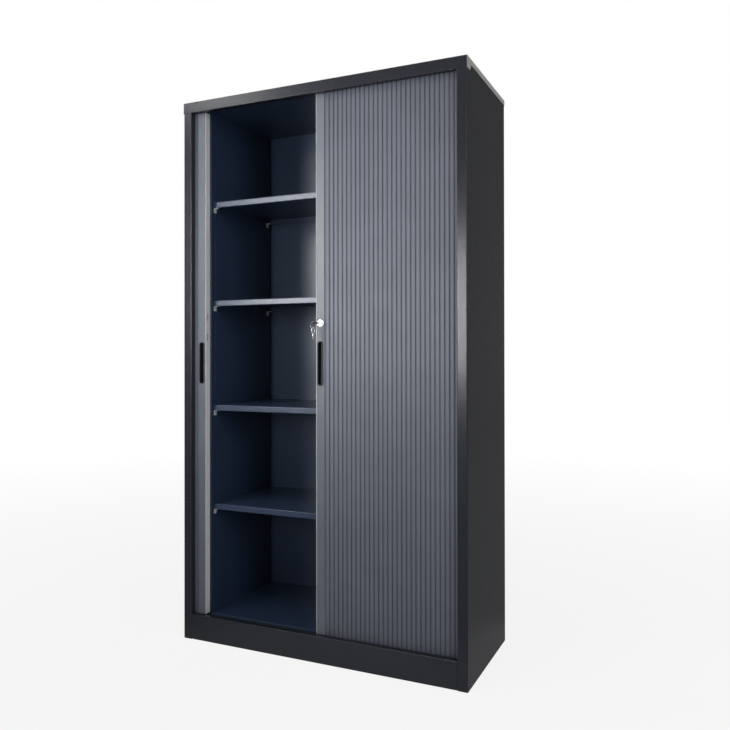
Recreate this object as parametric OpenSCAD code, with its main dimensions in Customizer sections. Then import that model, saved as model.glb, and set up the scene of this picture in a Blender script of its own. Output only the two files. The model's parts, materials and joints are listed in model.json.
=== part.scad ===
// Tambour door cabinet: a steel cupboard whose two slatted curtains slide sideways into the walls.
// Origin: centre of the footprint on the floor. +X is the viewer's right, -Y the front, +Z up.

/* [Carcass] */
// Overall width
cabinet_w = 1000; // [960:5:1010]
// Overall depth, without the key
cabinet_d = 450; // [445:5:500]
// Overall height
cabinet_h = 1830; // [1650:10:1980]
// Thickness of the steel sheet
sheet_t = 1; // [0.8:0.1:1.2]
// Outer radius of the visible bends
bend_r = 2.2; // [1.6:0.1:2.6]
// Height of the plinth, which is also the height of the compartment floor
plinth_h = 84; // [75:1:100]
// Set-back of the plinth behind the front edges
plinth_setback = 2; // [1:0.5:6]
// Depth of the bottom lip of the plinth and of the rear rail
foot_lip = 15; // [10:1:20]
// Height of the flange at the front of the top panel
header_h = 36; // [30:1:44]
// Depth of the lip under the header
header_lip = 13; // [8:1:16]
// Height of the flanges at the sides and the back of the top panel
cap_side_h = 17; // [14:1:22]
// Length of the deep end of each side flange, where the header wraps the corner
header_wrap = 30; // [20:1:40]
// Length over which the wrap tapers back to the side flange
wrap_taper = 15; // [10:1:20]
// Width of the stile at each side of the doorway
stile_w = 32; // [26:1:36]
// Depth of the lip behind each stile
stile_lip = 17; // [12:1:19]
// Width of the rear flange of each side panel
rear_flange = 20; // [15:1:25]
// Distance from the outside to the compartment face of each inner side panel
storage_w = 80; // [78:1:90]
// Distance from the front to the front edge of the inner side panels
inner_setback = 47; // [47:0.5:56]
// Width of the flanges of the inner side panels
inner_flange = 12; // [8:1:14]
// Depth of the flanges of the base and head panels
deck_flange = 18; // [14:1:22]
// Gap between the stile lips and the base and head panels
deck_gap = 0.2; // [0.1:0.1:0.5]
// Gap between the inner side panels and the back panel
inner_gap = 5; // [3:0.5:6]
// How far the compartment floor reaches in front of the inner side panels
floor_step = 3; // [2:0.5:4]
// Gap between the header's lip and the stiles
lip_gap = 0.3; // [0.2:0.1:0.6]
// Distance from the edges of the side panels to the edges of the back panel
back_inset = 1; // [0.5:0.5:3]
// Height of the back panel above the floor
back_up = 2; // [1:0.5:4]

/* [Shelves] */
// Distance between two rows of shelf slots
slot_pitch = 20; // [16:1:22]
// Height of a shelf in row 0 above the compartment floor
row_0_up = 11; // [8:1:14]
// Height of a shelf slot
slot_h = 10; // [8:0.5:11]
// Width of a shelf slot
slot_w = 3; // [2.5:0.25:4]
// Distance from the lower edge of a shelf down to the top of its slots
slot_drop = 3; // [2:0.5:4]
// Number of rows below the lowest slots
bottom_rows = 3; // [2:1:6]
// Number of rows below the lowest shelf
shelf_1_rows = 18; // [12:1:20]
// Number of rows from the lowest shelf to the second one
shelf_2_rows = 17; // [14:1:18]
// Number of rows from the second shelf to the third one
shelf_3_rows = 18; // [14:1:19]
// Number of rows from the third shelf to the top one
shelf_4_rows = 17; // [14:1:18]
// Distance from the front of the cabinet to the front of a shelf
shelf_setback = 62; // [58:1:80]
// Height of the front and rear edges of a shelf
shelf_edge = 20; // [16:1:25]
// Return lip under the front edge of a shelf
shelf_lip = 12; // [8:1:16]
// Gap beside a shelf
shelf_gap = 1; // [0.5:0.25:2]
// Gap between a shelf and the rear edges of the inner side panels
shelf_rear_gap = 4; // [2:0.5:8]
// Distance from the front of a shelf to the middle of its front clips
clip_front_inset = 9; // [8:1:30]
// Distance from the rear of a shelf to the middle of its rear clips
clip_rear_inset = 20; // [12:1:30]
// Width of a shelf clip, front to back
clip_w = 14; // [10:1:18]
// Length of the ledge of a shelf clip
clip_ledge = 14; // [9:1:16]
// Thickness of a shelf clip
clip_t = 1.5; // [1.2:0.1:1.8]
// Length of the plate of a shelf clip
clip_drop = 16; // [14:1:20]
// Play of a shelf clip's tongue in its slot
clip_play = 0.4; // [0.3:0.05:0.5]

/* [Tambour] */
// Distance from one slat to the next
slat_pitch = 15.1; // [14.8:0.1:15.6]
// Width of the gap seen between two slats
slat_groove = 3.6; // [3.2:0.1:4]
// Distance from the face of a slat to its hinge line
slat_front = 5; // [4.6:0.1:5.4]
// Wall thickness of a slat
slat_wall = 1.2; // [1:0.1:1.3]
// Radius of the hinge bead of a slat
bead_r = 1.5; // [1.4:0.05:1.6]
// Running gap between a bead and its socket
bead_gap = 0.3; // [0.25:0.05:0.35]
// Wall of the socket round a bead
socket_wall = 1; // [0.8:0.1:1.2]
// Distance from the front of the cabinet to the faces of the doors
door_recess = 21; // [19:0.5:21]

/* [Tracks] */
// Radius of the hinge line round the corners of the tracks
corner_r = 20; // [19:0.5:22]
// Distance from the side and the back of the cabinet to the hinge line of a stored curtain
track_inset = 11; // [10.2:0.1:11.6]
// Wall thickness of the track channel
track_wall = 1.5; // [1.2:0.1:1.6]
// Thickness of the floor of the track channel
track_floor = 2; // [1.5:0.1:2.5]
// Height of the track channel
track_h = 12; // [10:0.5:13]
// Gap between a slat and each wall of the track
track_gap = 0.6; // [0.5:0.05:0.8]
// Extra room behind the slats for their turn round the corners
corner_gap = 0.2; // [0.2:0.05:0.4]
// Gap between the end of a slat and the floor of the track
end_gap = 0.5; // [0.4:0.1:0.8]
// Length of the rubber stop at the end of each track
stop_l = 6; // [4:1:8]
// Gap between a stored curtain and the rubber stops
stop_gap = 3.5; // [2:0.5:4]
// Least length of the straight rear run of each track
rear_run_least = 14; // [10:1:20]
// Gap between the inner side panels and a rear track that reaches behind them
behind_gap = 1; // [0.5:0.5:2]

/* [Lead bars] */
// Width of a lead bar with its edge strip
lead_w = 31; // [29:0.5:33]
// Depth of a lead bar
lead_d = 25; // [24:0.5:25.5]
// Wall thickness of a lead bar
lead_wall = 2; // [1.6:0.1:2.2]
// Radius of the front corners of a lead bar
lead_corner_r = 2; // [1:0.25:3]
// Thickness of the strip on the meeting edge
strip_t = 1.5; // [1.2:0.1:1.8]
// Gap between the two closed doors
meeting_gap = 0.6; // [0.4:0.1:1]
// Distance from the side of the cabinet to the lead bar of an open door
open_inset = 45.5; // [43:0.5:48]
// Gap between a lead bar and the floor or the tracks
lead_gap = 1; // [0.8:0.1:1.5]
// Length of a glider inside the end of a lead bar
glider_plug = 16; // [12:1:20]
// Length of the glider's shoe in the track
glider_shoe = 8; // [6:0.5:8]
// Gap round a glider's plug and a pull cup in the lead bar
plug_gap = 0.2; // [0.15:0.05:0.3]
// Running gap of a glider's shoe in the track
shoe_gap = 0.4; // [0.3:0.1:0.6]
// Gap between a lead bar and its first hinge
hinge_inset = 2; // [1.8:0.1:2.5]
// Set-back of the edge strips behind the face of the lead bars
strip_inset = 0.8; // [0.5:0.1:1.2]
// Height of the middle of the finger pulls above the floor
pull_z = 940; // [900:5:960]
// Inside height of a finger pull
pull_h = 138; // [120:1:140]
// Inside width of a finger pull
pull_w = 17; // [15:0.5:18]
// Depth of a finger pull
pull_depth = 17; // [12:0.5:18]
// Wall thickness of a pull cup
cup_wall = 1.3; // [1:0.1:1.5]
// Width of the rim round a pull cup
cup_rim = 1.4; // [1:0.1:1.6]
// Thickness of the rim round a pull cup
cup_rim_t = 0.8; // [0.6:0.1:1]

/* [Lock] */
// Height of the lock above the floor
lock_z = 1067; // [1062:1:1075]
// Radius of the chrome rose round the lock
rose_r = 12; // [11:0.25:12.5]
// Thickness of the rose
rose_t = 3; // [2:0.25:4]
// Radius of the lock barrel
barrel_r = 9.4; // [8.8:0.1:9.6]
// Radius of the turning plug
plug_r = 7; // [6.4:0.1:7.4]
// Radial running clearance of the lock's shafts
lock_gap = 0.05; // [0.03:0.01:0.08]
// Distance from the meeting edge to the pivots of the hook bolts
hook_inset = 12; // [11.5:0.1:12.5]
// Height of the upper hook bolt above the lock
hook_up = 22; // [20:1:24]
// Depth of the lower hook bolt below the lock
hook_down = 47; // [46:1:50]
// Reach of a hook bolt from its pivot
hook_reach = 20; // [19:0.25:20.5]
// Wall round the pivot of a hook bolt
hub_wall = 2.65; // [2.2:0.05:2.8]
// Width of the arm of a hook bolt
hook_w = 7; // [6:0.25:7.5]
// Thickness of a hook bolt
hook_t = 3; // [2.5:0.1:3.2]
// Projection of the barb of a hook bolt
barb_h = 3; // [2:0.25:3.25]
// Throw of the cranks that turn the hook bolts
crank_r = 8; // [7:0.25:8]
// Radius of the crank pins
pin_r = 1.5; // [1.25:0.05:1.6]
// Thickness of the link bar
link_t = 2; // [1.5:0.1:2.2]
// Clear gap between moving pieces of the lock
lock_air = 0.3; // [0.3:0.05:0.5]
// Thickness of the lock's case plate
case_t = 1.5; // [1.2:0.1:1.6]
// Distance from the door face to the shoulders of the case's posts
post_shoulder = 10.7; // [10.4:0.1:11]
// Radius of the pivots on the case's posts
post_r = 2; // [1.8:0.1:2.1]
// Radius of the case's posts below their shoulders
post_foot_r = 3.5; // [3:0.25:4]
// Distance from the end of a hook bolt back to the heel of its barb
barb_l = 5.5; // [5:0.25:6]
// Gap round a hook bolt in the slots of the edge strips
hook_air = 0.5; // [0.4:0.1:0.8]
// Projection of the plug in front of the rose
plug_out = 0.4; // [0.2:0.1:0.6]
// Radius of the plug's tail
tail_r = 3.5; // [3:0.25:4]
// Radius of the end of a crank
crank_end_r = 2.5; // [2.2:0.1:2.8]
// Width of metal round the pins of the link bar
link_edge = 1.6; // [1.2:0.1:1.8]

/* [Keys] */
// Distance from the door face to the end of the inserted key
key_out = 42; // [38:0.5:43]
// Radius of the bow of a key
bow_r = 12; // [10:0.25:12.5]
// Radius of the hole in the bow
bow_hole_r = 7.5; // [6.5:0.25:7.75]
// Thickness of a key
key_t = 2; // [1.6:0.1:2.2]
// Width of the blade of a key
blade_w = 7; // [6:0.25:8]
// Length of the blade inside the plug
blade_in = 12; // [9:0.5:12.5]
// Gap round the blade in its keyway
keyway_gap = 0.3; // [0.2:0.05:0.4]
// Middle radius of the key ring
ring_r = 10; // [9.5:0.25:10.5]
// Radius of the ring's wire
ring_wire_r = 0.8; // [0.6:0.1:0.9]

/* [Levelling feet] */
// Distance from the sides of the cabinet to the levelling feet
foot_side_inset = 100; // [60:5:140]
// Distance from the front and the back of the cabinet to the levelling feet
foot_end_inset = 65; // [45:5:85]
// Radius of the foot disc
disc_r = 15; // [12:0.5:20]
// Thickness of the foot disc
disc_t = 6; // [4:0.5:8]
// Radius of the foot stud
stud_r = 4; // [3:0.5:5]
// Clearance of a raised foot above the floor
foot_rest = 1; // [0.5:0.5:3]
// Radius of the threaded bush that holds a stud
bush_r = 10; // [8:0.5:12]
// Length of the threaded bush
bush_l = 18; // [12:1:24]
// Gap between the top of a raised stud and the base panel
stud_gap = 2; // [1:0.5:4]

/* [Fasteners] */
// Radius of the head of a back panel screw
screw_head_r = 4; // [3.5:0.25:5]
// Height of the head of a back panel screw
screw_head_h = 2; // [1.5:0.1:2.5]
// Radius of the shank of a back panel screw
screw_r = 1.75; // [1.5:0.05:2]
// Length of the shank of a back panel screw
screw_l = 8; // [6:0.5:10]
// Clearance of a screw in its hole
screw_gap = 0.1; // [0.05:0.05:0.3]
// Height of the lowest screws above the compartment floor
screw_low = 20; // [15:1:40]
// Distance from the top of the back panel to the highest screws
screw_high = 30; // [20:1:50]
// Number of screws down each side of the back panel
screw_rows = 5; // [3:1:7]
// Distance between the two wall-fixing holes
wall_fix_spacing = 400; // [300:10:460]
// Radius of the wall-fixing holes
wall_fix_r = 4; // [3:0.5:5]
// Distance from the top of the cabinet to the wall-fixing holes
wall_fix_drop = 130; // [100:5:160]

/* [Hidden] */
$fn = 48;
arc_steps = 4;

// Colours
steel_paint = "#262b35";
inner_paint = "#1b202b";
slat_grey = "#4a505c";
strip_grey = "#c9c8c2";
track_black = "#16181c";
zinc = "#b9bdc2";
chrome_grey = "#d8dadd";
rubber_black = "#111214";

// Planes of the carcass
half_w = cabinet_w / 2;
half_d = cabinet_d / 2;
front_y = -half_d;
skin_x = half_w - sheet_t;
inside_x = skin_x - sheet_t;
skin_front_y = front_y + sheet_t;
back_inner_y = half_d - sheet_t;
top_under = cabinet_h - sheet_t;
head_under = top_under - deck_flange - sheet_t;
base_top = plinth_h - track_h - sheet_t;
base_under = base_top - sheet_t;
deck_front_y = skin_front_y + stile_lip + deck_gap;
deck_rear_y = back_inner_y - sheet_t;
inner_x = half_w - storage_w;
inner_front_y = front_y + inner_setback;
floor_front_y = inner_front_y - floor_step;
relief = bend_r - sheet_t + 0.1;

// Hinge line of a curtain, seen from above, for the right-hand side
hinge_y = front_y + door_recess + slat_front;
track_x = half_w - track_inset;
rear_y = half_d - track_inset;
run_front = track_x - corner_r;
arc_len = PI * corner_r / 2;
run_side = (rear_y - corner_r) - (hinge_y + corner_r);
rear_start = run_front + arc_len + run_side + arc_len;

// Track channel, measured from the hinge line: outwards is the side of the slat faces
track_out = slat_front + track_gap;
socket_r = bead_r + bead_gap + socket_wall;
track_in = socket_r + track_gap + corner_gap;
track_bottom_z = base_top;
track_top_z = head_under;

// Curtains
face_y = front_y + door_recess;
lead_x = meeting_gap / 2;
lead_end_x = lead_x + lead_w;
first_hinge = lead_end_x + hinge_inset;
travel = half_w - open_inset - lead_w - meeting_gap / 2;
slat_count = ceil((run_front + arc_len - first_hinge) / slat_pitch);
slat_bottom = track_bottom_z + track_floor + end_gap;
slat_top = track_top_z - track_floor - end_gap;
lead_bottom = plinth_h + lead_gap;
lead_top = track_bottom_z + track_top_z - lead_bottom;

// The tracks end behind the stored curtains, and the inner panels stop short of long ones
stored_end = hinges(first_hinge + travel, slat_count)[slat_count];
rear_run = max(rear_run_least, stored_end - rear_start + socket_r + stop_gap + stop_l);
track_end_x = run_front - rear_run;
reaches_behind = track_end_x < inner_x + sheet_t + inner_flange + behind_gap;
inner_rear_y = reaches_behind
    ? rear_y - track_in - track_wall - behind_gap
    : back_inner_y - inner_gap;

// Shelf places
first_row_z = plinth_h + row_0_up;
shelf_row_1 = shelf_1_rows;
shelf_row_2 = shelf_row_1 + shelf_2_rows;
shelf_row_3 = shelf_row_2 + shelf_3_rows;
shelf_row_4 = shelf_row_3 + shelf_4_rows;
function shelf_top(row) = first_row_z + row * slot_pitch;
shelf_front_y = front_y + shelf_setback;
shelf_rear_y = inner_rear_y - shelf_rear_gap;
clip_front_y = shelf_front_y + clip_front_inset;
clip_rear_y = shelf_rear_y - clip_rear_inset;
slot_last = floor((head_under - first_row_z - 2 * slot_h) / slot_pitch);
function slot_top(row) = shelf_top(row) - shelf_edge - slot_drop;

// Lock layers, measured back from the face of the lead bar
lock_x = lead_x + lead_w / 2;
hook_front = post_shoulder + lock_air;
hook_back = hook_front + hook_t;
link_front = hook_back + lock_air;
pin_back = link_front + link_t;
barrel_back = post_shoulder - lock_air;
hook_x = lead_x + hook_inset;
upper_hook_z = lock_z + hook_up;
lower_hook_z = lock_z - hook_down;
barb_from = hook_reach - barb_l;
barb_side = hook_w / 2 + barb_h;
hook_tip_r = norm([hook_reach, barb_side]);
slot_below = hook_w / 2 + hook_air;
slot_above = sqrt(pow(hook_tip_r, 2) - pow(hook_inset - strip_t, 2)) + hook_air;
wall_inset = hook_inset - strip_t - lead_wall;
slot_above_wall = sqrt(pow(hook_tip_r, 2) - pow(wall_inset, 2)) + hook_air;
hook_slot_w = hook_t + 4 * hook_air;
hub_r = post_r + lock_gap + hub_wall;
plug_front = rose_t + plug_out;

// Keys and ring
bow_centre_out = key_out - bow_r;
rim_w = bow_r - bow_hole_r;
rim_mid = bow_r - rim_w / 2;
rim_clear = rim_w / 2 + lock_air;
ring_inner_r = ring_r - ring_wire_r;
rim_x = lock_x - rim_mid;
ring_z = lock_z - (ring_inner_r - rim_clear);
key_y = face_y - bow_centre_out;
spare_bow_z = ring_z - ring_inner_r + lock_air - bow_hole_r;

// Geometry helpers

function left_normal(a, b) = [a[1] - b[1], b[0] - a[0]] / norm(b - a);

// A path moved sideways to its left, with mitred corners
function shifted(path, by) = [
    for (i = [0:len(path) - 1])
        let (
            n1 = left_normal(path[max(i - 1, 0)], path[max(i, 1)]),
            n2 = i < len(path) - 1 ? left_normal(path[i], path[i + 1]) : n1,
            m = n1 + n2
        )
        path[i] + m * (2 * by / (m * m))
];

function unit(v) = v / norm(v);

// A path whose corners are rounded with arcs of one radius
function rounded(path, r) = [
    for (i = [0:len(path) - 1])
        if (i == 0 || i == len(path) - 1) path[i]
        else
            let (
                u = unit(path[i - 1] - path[i]),
                v = unit(path[i + 1] - path[i]),
                half = acos(u * v) / 2,
                turn = 180 - 2 * half,
                centre = path[i] + unit(u + v) * r / sin(half),
                from = path[i] + u * r / tan(half) - centre,
                to = path[i] + v * r / tan(half) - centre
            )
            for (k = [0:arc_steps])
                let (t = k / arc_steps)
                centre + (from * sin((1 - t) * turn) + to * sin(t * turn)) / sin(turn)
];

function reversed(list) = [for (i = [len(list) - 1:-1:0]) list[i]];

// Section of a folded sheet: the path is its outer face, the thickness lies to the path's left
module folded_section(path, r = bend_r, t = sheet_t) {
    outer = rounded(path, r);
    polygon(concat(outer, reversed(shifted(outer, t))));
}

// A box given by its lowest and highest corners
module block(low, high) {
    translate(low) cube(high - low);
}

// A cylinder along +Y from one depth to another, centred on a point of the XZ plane
module shaft_y(x, z, y_from, y_to, r) {
    translate([x, y_from, z]) rotate([-90, 0, 0]) cylinder(h = y_to - y_from, r = r);
}

// Both sides of the cabinet from the right-hand one
module left_of() {
    mirror([1, 0, 0]) children();
}

// A tray of sheet: a deck with flanges, downwards or upwards, and relieved corners
module tray(low, high, flange, up = false) {
    translate(low)
        difference() {
            translate([0, 0, up ? 0 : -flange])
                cube([high[0] - low[0], high[1] - low[1], flange + sheet_t]);
            translate([sheet_t, sheet_t, up ? sheet_t : -flange - 1])
                cube([
                    high[0] - low[0] - 2 * sheet_t,
                    high[1] - low[1] - 2 * sheet_t,
                    flange + 1
                ]);
            for (x = [-1, high[0] - low[0] - relief], y = [-1, high[1] - low[1] - relief])
                translate([x, y, up ? -1 : -flange - 1])
                    cube([relief + 1, relief + 1, flange + sheet_t + 2]);
        }
}

// Hinge line of the right-hand curtain at a distance along it from the middle of the front
function track_point(s) =
    let (
        corner_end = run_front + arc_len,
        side_end = corner_end + run_side,
        rear_end = side_end + arc_len
    )
    s <= run_front ? [s, hinge_y]
    : s <= corner_end ? let (a = (s - run_front) / corner_r * 180 / PI)
        [run_front + corner_r * sin(a), hinge_y + corner_r * (1 - cos(a))]
    : s <= side_end ? [track_x, hinge_y + corner_r + s - corner_end]
    : s <= rear_end ? let (a = (s - side_end) / corner_r * 180 / PI)
        [track_x - corner_r * (1 - cos(a)), rear_y - corner_r + corner_r * sin(a)]
    : [run_front - (s - rear_end), rear_y];

// The place on the line one slat further on, found by closing in on the pitch
function next_hinge(s, guess, tries = 6) =
    tries == 0 ? guess
    : next_hinge(s, guess + slat_pitch - norm(track_point(guess) - track_point(s)), tries - 1);

function hinges(start, count) = [
    for (i = 0, s = start; i <= count; i = i + 1, s = next_hinge(s, s + slat_pitch)) s
];

// Carcass

// Top panel: a cap whose deep header wraps both front corners
module top_panel() {
    color(steel_paint) {
        block([-half_w, front_y + bend_r, top_under], [half_w, half_d, cabinet_h]);
        translate([-half_w, 0, 0]) rotate([90, 0, 90])
            linear_extrude(cabinet_w)
                folded_section([
                    [front_y, cabinet_h - header_h],
                    [front_y, cabinet_h],
                    [front_y + 2 * bend_r, cabinet_h]
                ], t = -sheet_t);
        block(
            [-half_w + stile_w + lip_gap, front_y + sheet_t / 2, cabinet_h - header_h],
            [half_w - stile_w - lip_gap, front_y + header_lip, cabinet_h - header_h + sheet_t]
        );
        for (side = [-1, 1])
            translate([side > 0 ? skin_x : -half_w, 0, 0]) rotate([90, 0, 90])
                linear_extrude(sheet_t)
                    polygon([
                        [front_y + sheet_t / 2, cabinet_h - header_h],
                        [front_y + header_wrap, cabinet_h - header_h],
                        [front_y + header_wrap + wrap_taper, cabinet_h - cap_side_h],
                        [half_d, cabinet_h - cap_side_h],
                        [half_d, cabinet_h - sheet_t / 2],
                        [front_y + bend_r, cabinet_h - sheet_t / 2],
                        [front_y + sheet_t / 2, cabinet_h - bend_r]
                    ]);
        block([-half_w, back_inner_y, cabinet_h - cap_side_h], [half_w, half_d, cabinet_h]);
    }
}

// Head panel: the deck under the top panel that carries the top tracks
module head_panel() {
    color(inner_paint)
        tray([-inside_x, deck_front_y, head_under], [inside_x, deck_rear_y, 0], deck_flange, true);
}

// Right side panel: skin, stile, stile lip and rear flange folded from one sheet
// Its top is relieved under the bend of the header
module side_panel() {
    color(steel_paint)
        difference() {
            linear_extrude(top_under)
                folded_section([
                    [half_w - stile_w, skin_front_y + stile_lip],
                    [half_w - stile_w, skin_front_y],
                    [skin_x, skin_front_y],
                    [skin_x, back_inner_y],
                    [skin_x - rear_flange, back_inner_y]
                ]);
            block(
                [half_w - stile_w - 1, front_y - 1, top_under - relief],
                [half_w + 1, skin_front_y + relief, top_under + 1]
            );
        }
}

module back_screw_holes() {
    for (place = screw_places())
        shaft_y(place[0], place[1], half_d - screw_l - 1, half_d + 1, screw_r + screw_gap);
}

module right_side_panel() {
    difference() {
        side_panel();
        back_screw_holes();
    }
}

module left_side_panel() {
    difference() {
        left_of() side_panel();
        back_screw_holes();
    }
}

// Right inner side panel: a flanged sheet with two columns of shelf slots
module inner_panel() {
    color(inner_paint)
        difference() {
            translate([0, 0, base_top])
                linear_extrude(head_under - base_top)
                    folded_section([
                        [inner_x + inner_flange + sheet_t, inner_rear_y],
                        [inner_x, inner_rear_y],
                        [inner_x, inner_front_y],
                        [inner_x + inner_flange + sheet_t, inner_front_y]
                    ], r = bend_r);
            for (row = [bottom_rows:slot_last], y = [clip_front_y, clip_rear_y])
                translate([inner_x - 1, y - slot_w / 2, slot_top(row) - slot_h])
                    cube([sheet_t + 2, slot_w, slot_h]);
        }
}

module right_inner_panel() {
    inner_panel();
}

module left_inner_panel() {
    left_of() inner_panel();
}

// Places of the back panel screws, in x and z
screw_step = (cabinet_h - cap_side_h - screw_high - plinth_h - screw_low) / (screw_rows - 1);
function screw_places() = [
    for (side = [-1, 1], i = [0:screw_rows - 1])
        [
            side * (skin_x - rear_flange / 2),
            plinth_h + screw_low + i * screw_step
        ]
];

// Back panel: a plain sheet on the rear flanges, with two wall-fixing holes
module back_panel() {
    color(inner_paint)
        difference() {
            block(
                [-skin_x + back_inset, back_inner_y, back_up],
                [skin_x - back_inset, half_d, cabinet_h - cap_side_h]
            );
            back_screw_holes();
            for (side = [-1, 1])
                shaft_y(side * wall_fix_spacing / 2, cabinet_h - wall_fix_drop,
                        back_inner_y - 1, half_d + 1, wall_fix_r);
        }
}

module back_panel_screws() {
    color(zinc)
        for (place = screw_places()) {
            shaft_y(place[0], place[1], half_d - screw_l, half_d + 0.1, screw_r);
            shaft_y(place[0], place[1], half_d, half_d + screw_head_h, screw_head_r);
        }
}

// Base panel: the deck that carries the bottom tracks, the floor and the foot bushes
module base_panel() {
    color(inner_paint)
        tray([-inside_x, deck_front_y, base_under], [inside_x, deck_rear_y, 0], deck_flange);
}

// Floor panel: the compartment floor, standing on the base panel
module floor_panel() {
    color(inner_paint)
        tray(
            [-inner_x + shelf_gap, floor_front_y, plinth_h - sheet_t],
            [inner_x - shelf_gap, inner_rear_y, 0],
            track_h
        );
}

// Plinth: bottom lip, face, top ledge and the lip that meets the base panel
module plinth() {
    plinth_y = front_y + plinth_setback;
    color(steel_paint)
        translate([-half_w + stile_w, 0, 0]) rotate([90, 0, 90])
            linear_extrude(cabinet_w - 2 * stile_w)
                folded_section([
                    [plinth_y + foot_lip, 0],
                    [plinth_y, 0],
                    [plinth_y, plinth_h],
                    [deck_front_y, plinth_h],
                    [deck_front_y, base_under - deck_flange]
                ], t = -sheet_t);
}

// Rear base rail: a channel that stands inside the rear flange of the base panel
module rear_base_rail() {
    rail_y = deck_rear_y - sheet_t;
    rail_x = inside_x - sheet_t;
    color(steel_paint)
        translate([-rail_x, 0, 0]) rotate([90, 0, 90])
            linear_extrude(2 * rail_x)
                folded_section([
                    [rail_y - foot_lip, 0],
                    [rail_y, 0],
                    [rail_y, base_under],
                    [rail_y - foot_lip, base_under]
                ]);
}

// Shelf: a pan with a returned front edge, seated on four clips
module shelf(row) {
    top = shelf_top(row);
    half = inner_x - shelf_gap;
    color(inner_paint) {
        translate([-half, 0, 0]) rotate([90, 0, 90])
            linear_extrude(2 * half)
                folded_section([
                    [shelf_front_y + shelf_lip, top - shelf_edge],
                    [shelf_front_y, top - shelf_edge],
                    [shelf_front_y, top],
                    [shelf_rear_y, top],
                    [shelf_rear_y, top - shelf_edge]
                ], t = -sheet_t);
        for (x = [-half, half - sheet_t])
            block(
                [x, shelf_front_y + sheet_t, top - shelf_edge],
                [x + sheet_t, shelf_rear_y - sheet_t, top - sheet_t / 2]
            );
    }
}

module shelf_1() { shelf(shelf_row_1); }
module shelf_2() { shelf(shelf_row_2); }
module shelf_3() { shelf(shelf_row_3); }
module shelf_4() { shelf(shelf_row_4); }

// Shelf clip at the right-hand side: ledge, plate and the tongue that hooks behind the slot
module shelf_clip(row, y) {
    ledge_z = shelf_top(row) - shelf_edge;
    tongue_x = inner_x + sheet_t + lock_air;
    tongue_w = slot_w / 2 - clip_play;
    slot_bottom = slot_top(row) - slot_h;
    half = clip_w / 2;
    translate([0, y + half, 0]) rotate([90, 0, 0])
        linear_extrude(clip_w)
            folded_section([
                [inner_x - clip_ledge, ledge_z],
                [inner_x, ledge_z],
                [inner_x, ledge_z - clip_drop]
            ], t = -clip_t, r = clip_t + clip_play);
    block(
        [inner_x - clip_t / 2, y - tongue_w, slot_bottom + clip_play],
        [tongue_x + clip_t, y + tongue_w, slot_top(row) - clip_play]
    );
    block(
        [tongue_x, y - tongue_w, slot_bottom - slot_drop],
        [tongue_x + clip_t, y + tongue_w, slot_bottom + 1]
    );
}

module shelf_clips() {
    color(zinc)
        for (row = [shelf_row_1, shelf_row_2, shelf_row_3, shelf_row_4],
             y = [clip_front_y, clip_rear_y]) {
            shelf_clip(row, y);
            left_of() shelf_clip(row, y);
        }
}

// Tracks

// Section of the channel: x is the distance outwards from the hinge line, y the height
module track_section() {
    difference() {
        translate([-track_in - track_wall, 0])
            square([track_in + track_out + 2 * track_wall, track_h]);
        translate([-track_in, track_floor]) square([track_in + track_out, track_h]);
    }
}

// Straight front run of the channel between the two corners
module front_track() {
    translate([-run_front, hinge_y, 0]) rotate([90, 0, 90])
        linear_extrude(2 * run_front)
            mirror([1, 0]) track_section();
}

// Corner, side run, rear corner and rear run of the right-hand channel
module side_track() {
    translate([run_front, hinge_y + corner_r, 0])
        rotate([0, 0, -90]) rotate_extrude(angle = 90, $fn = 96)
            translate([corner_r, 0]) track_section();
    translate([track_x, hinge_y + corner_r + run_side, 0]) rotate([90, 0, 0])
        linear_extrude(run_side) track_section();
    translate([run_front, rear_y - corner_r, 0])
        rotate_extrude(angle = 90, $fn = 96)
            translate([corner_r, 0]) track_section();
    translate([track_end_x, rear_y, 0]) rotate([90, 0, 90])
        linear_extrude(run_front - track_end_x) track_section();
}

module at_base() {
    color(track_black) translate([0, 0, track_bottom_z]) children();
}

module at_head() {
    color(track_black) translate([0, 0, track_top_z]) mirror([0, 0, 1]) children();
}

module bottom_front_track() { at_base() front_track(); }
module top_front_track() { at_head() front_track(); }
module right_bottom_track() { at_base() side_track(); }
module left_bottom_track() { at_base() left_of() side_track(); }
module right_top_track() { at_head() side_track(); }
module left_top_track() { at_head() left_of() side_track(); }

// Rubber stops that close the four rear ends of the tracks
module track_stop() {
    translate([track_end_x, rear_y - track_in, track_floor])
        cube([stop_l, track_in + track_out, track_h - track_floor]);
}

module track_stops() {
    color(rubber_black) {
        translate([0, 0, track_bottom_z]) {
            track_stop();
            left_of() track_stop();
        }
        translate([0, 0, track_top_z]) mirror([0, 0, 1]) {
            track_stop();
            left_of() track_stop();
        }
    }
}

// Levelling feet

module foot_bushes() {
    color(zinc)
        for (sx = [-1, 1], sy = [-1, 1])
            translate([sx * (half_w - foot_side_inset), sy * (half_d - foot_end_inset),
                       base_under - bush_l])
                difference() {
                    cylinder(h = bush_l, r = bush_r);
                    translate([0, 0, -1]) cylinder(h = bush_l + 0.5, r = stud_r + lock_gap);
                }
}

module foot(sx, sy) {
    color(rubber_black)
        translate([sx * (half_w - foot_side_inset), sy * (half_d - foot_end_inset), foot_rest]) {
            cylinder(h = disc_t, r = disc_r);
            cylinder(h = base_under - foot_rest - stud_gap, r = stud_r);
        }
}

module front_left_foot() { foot(-1, -1); }
module front_right_foot() { foot(1, -1); }
module rear_left_foot() { foot(-1, 1); }
module rear_right_foot() { foot(1, 1); }

// Curtains

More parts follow.
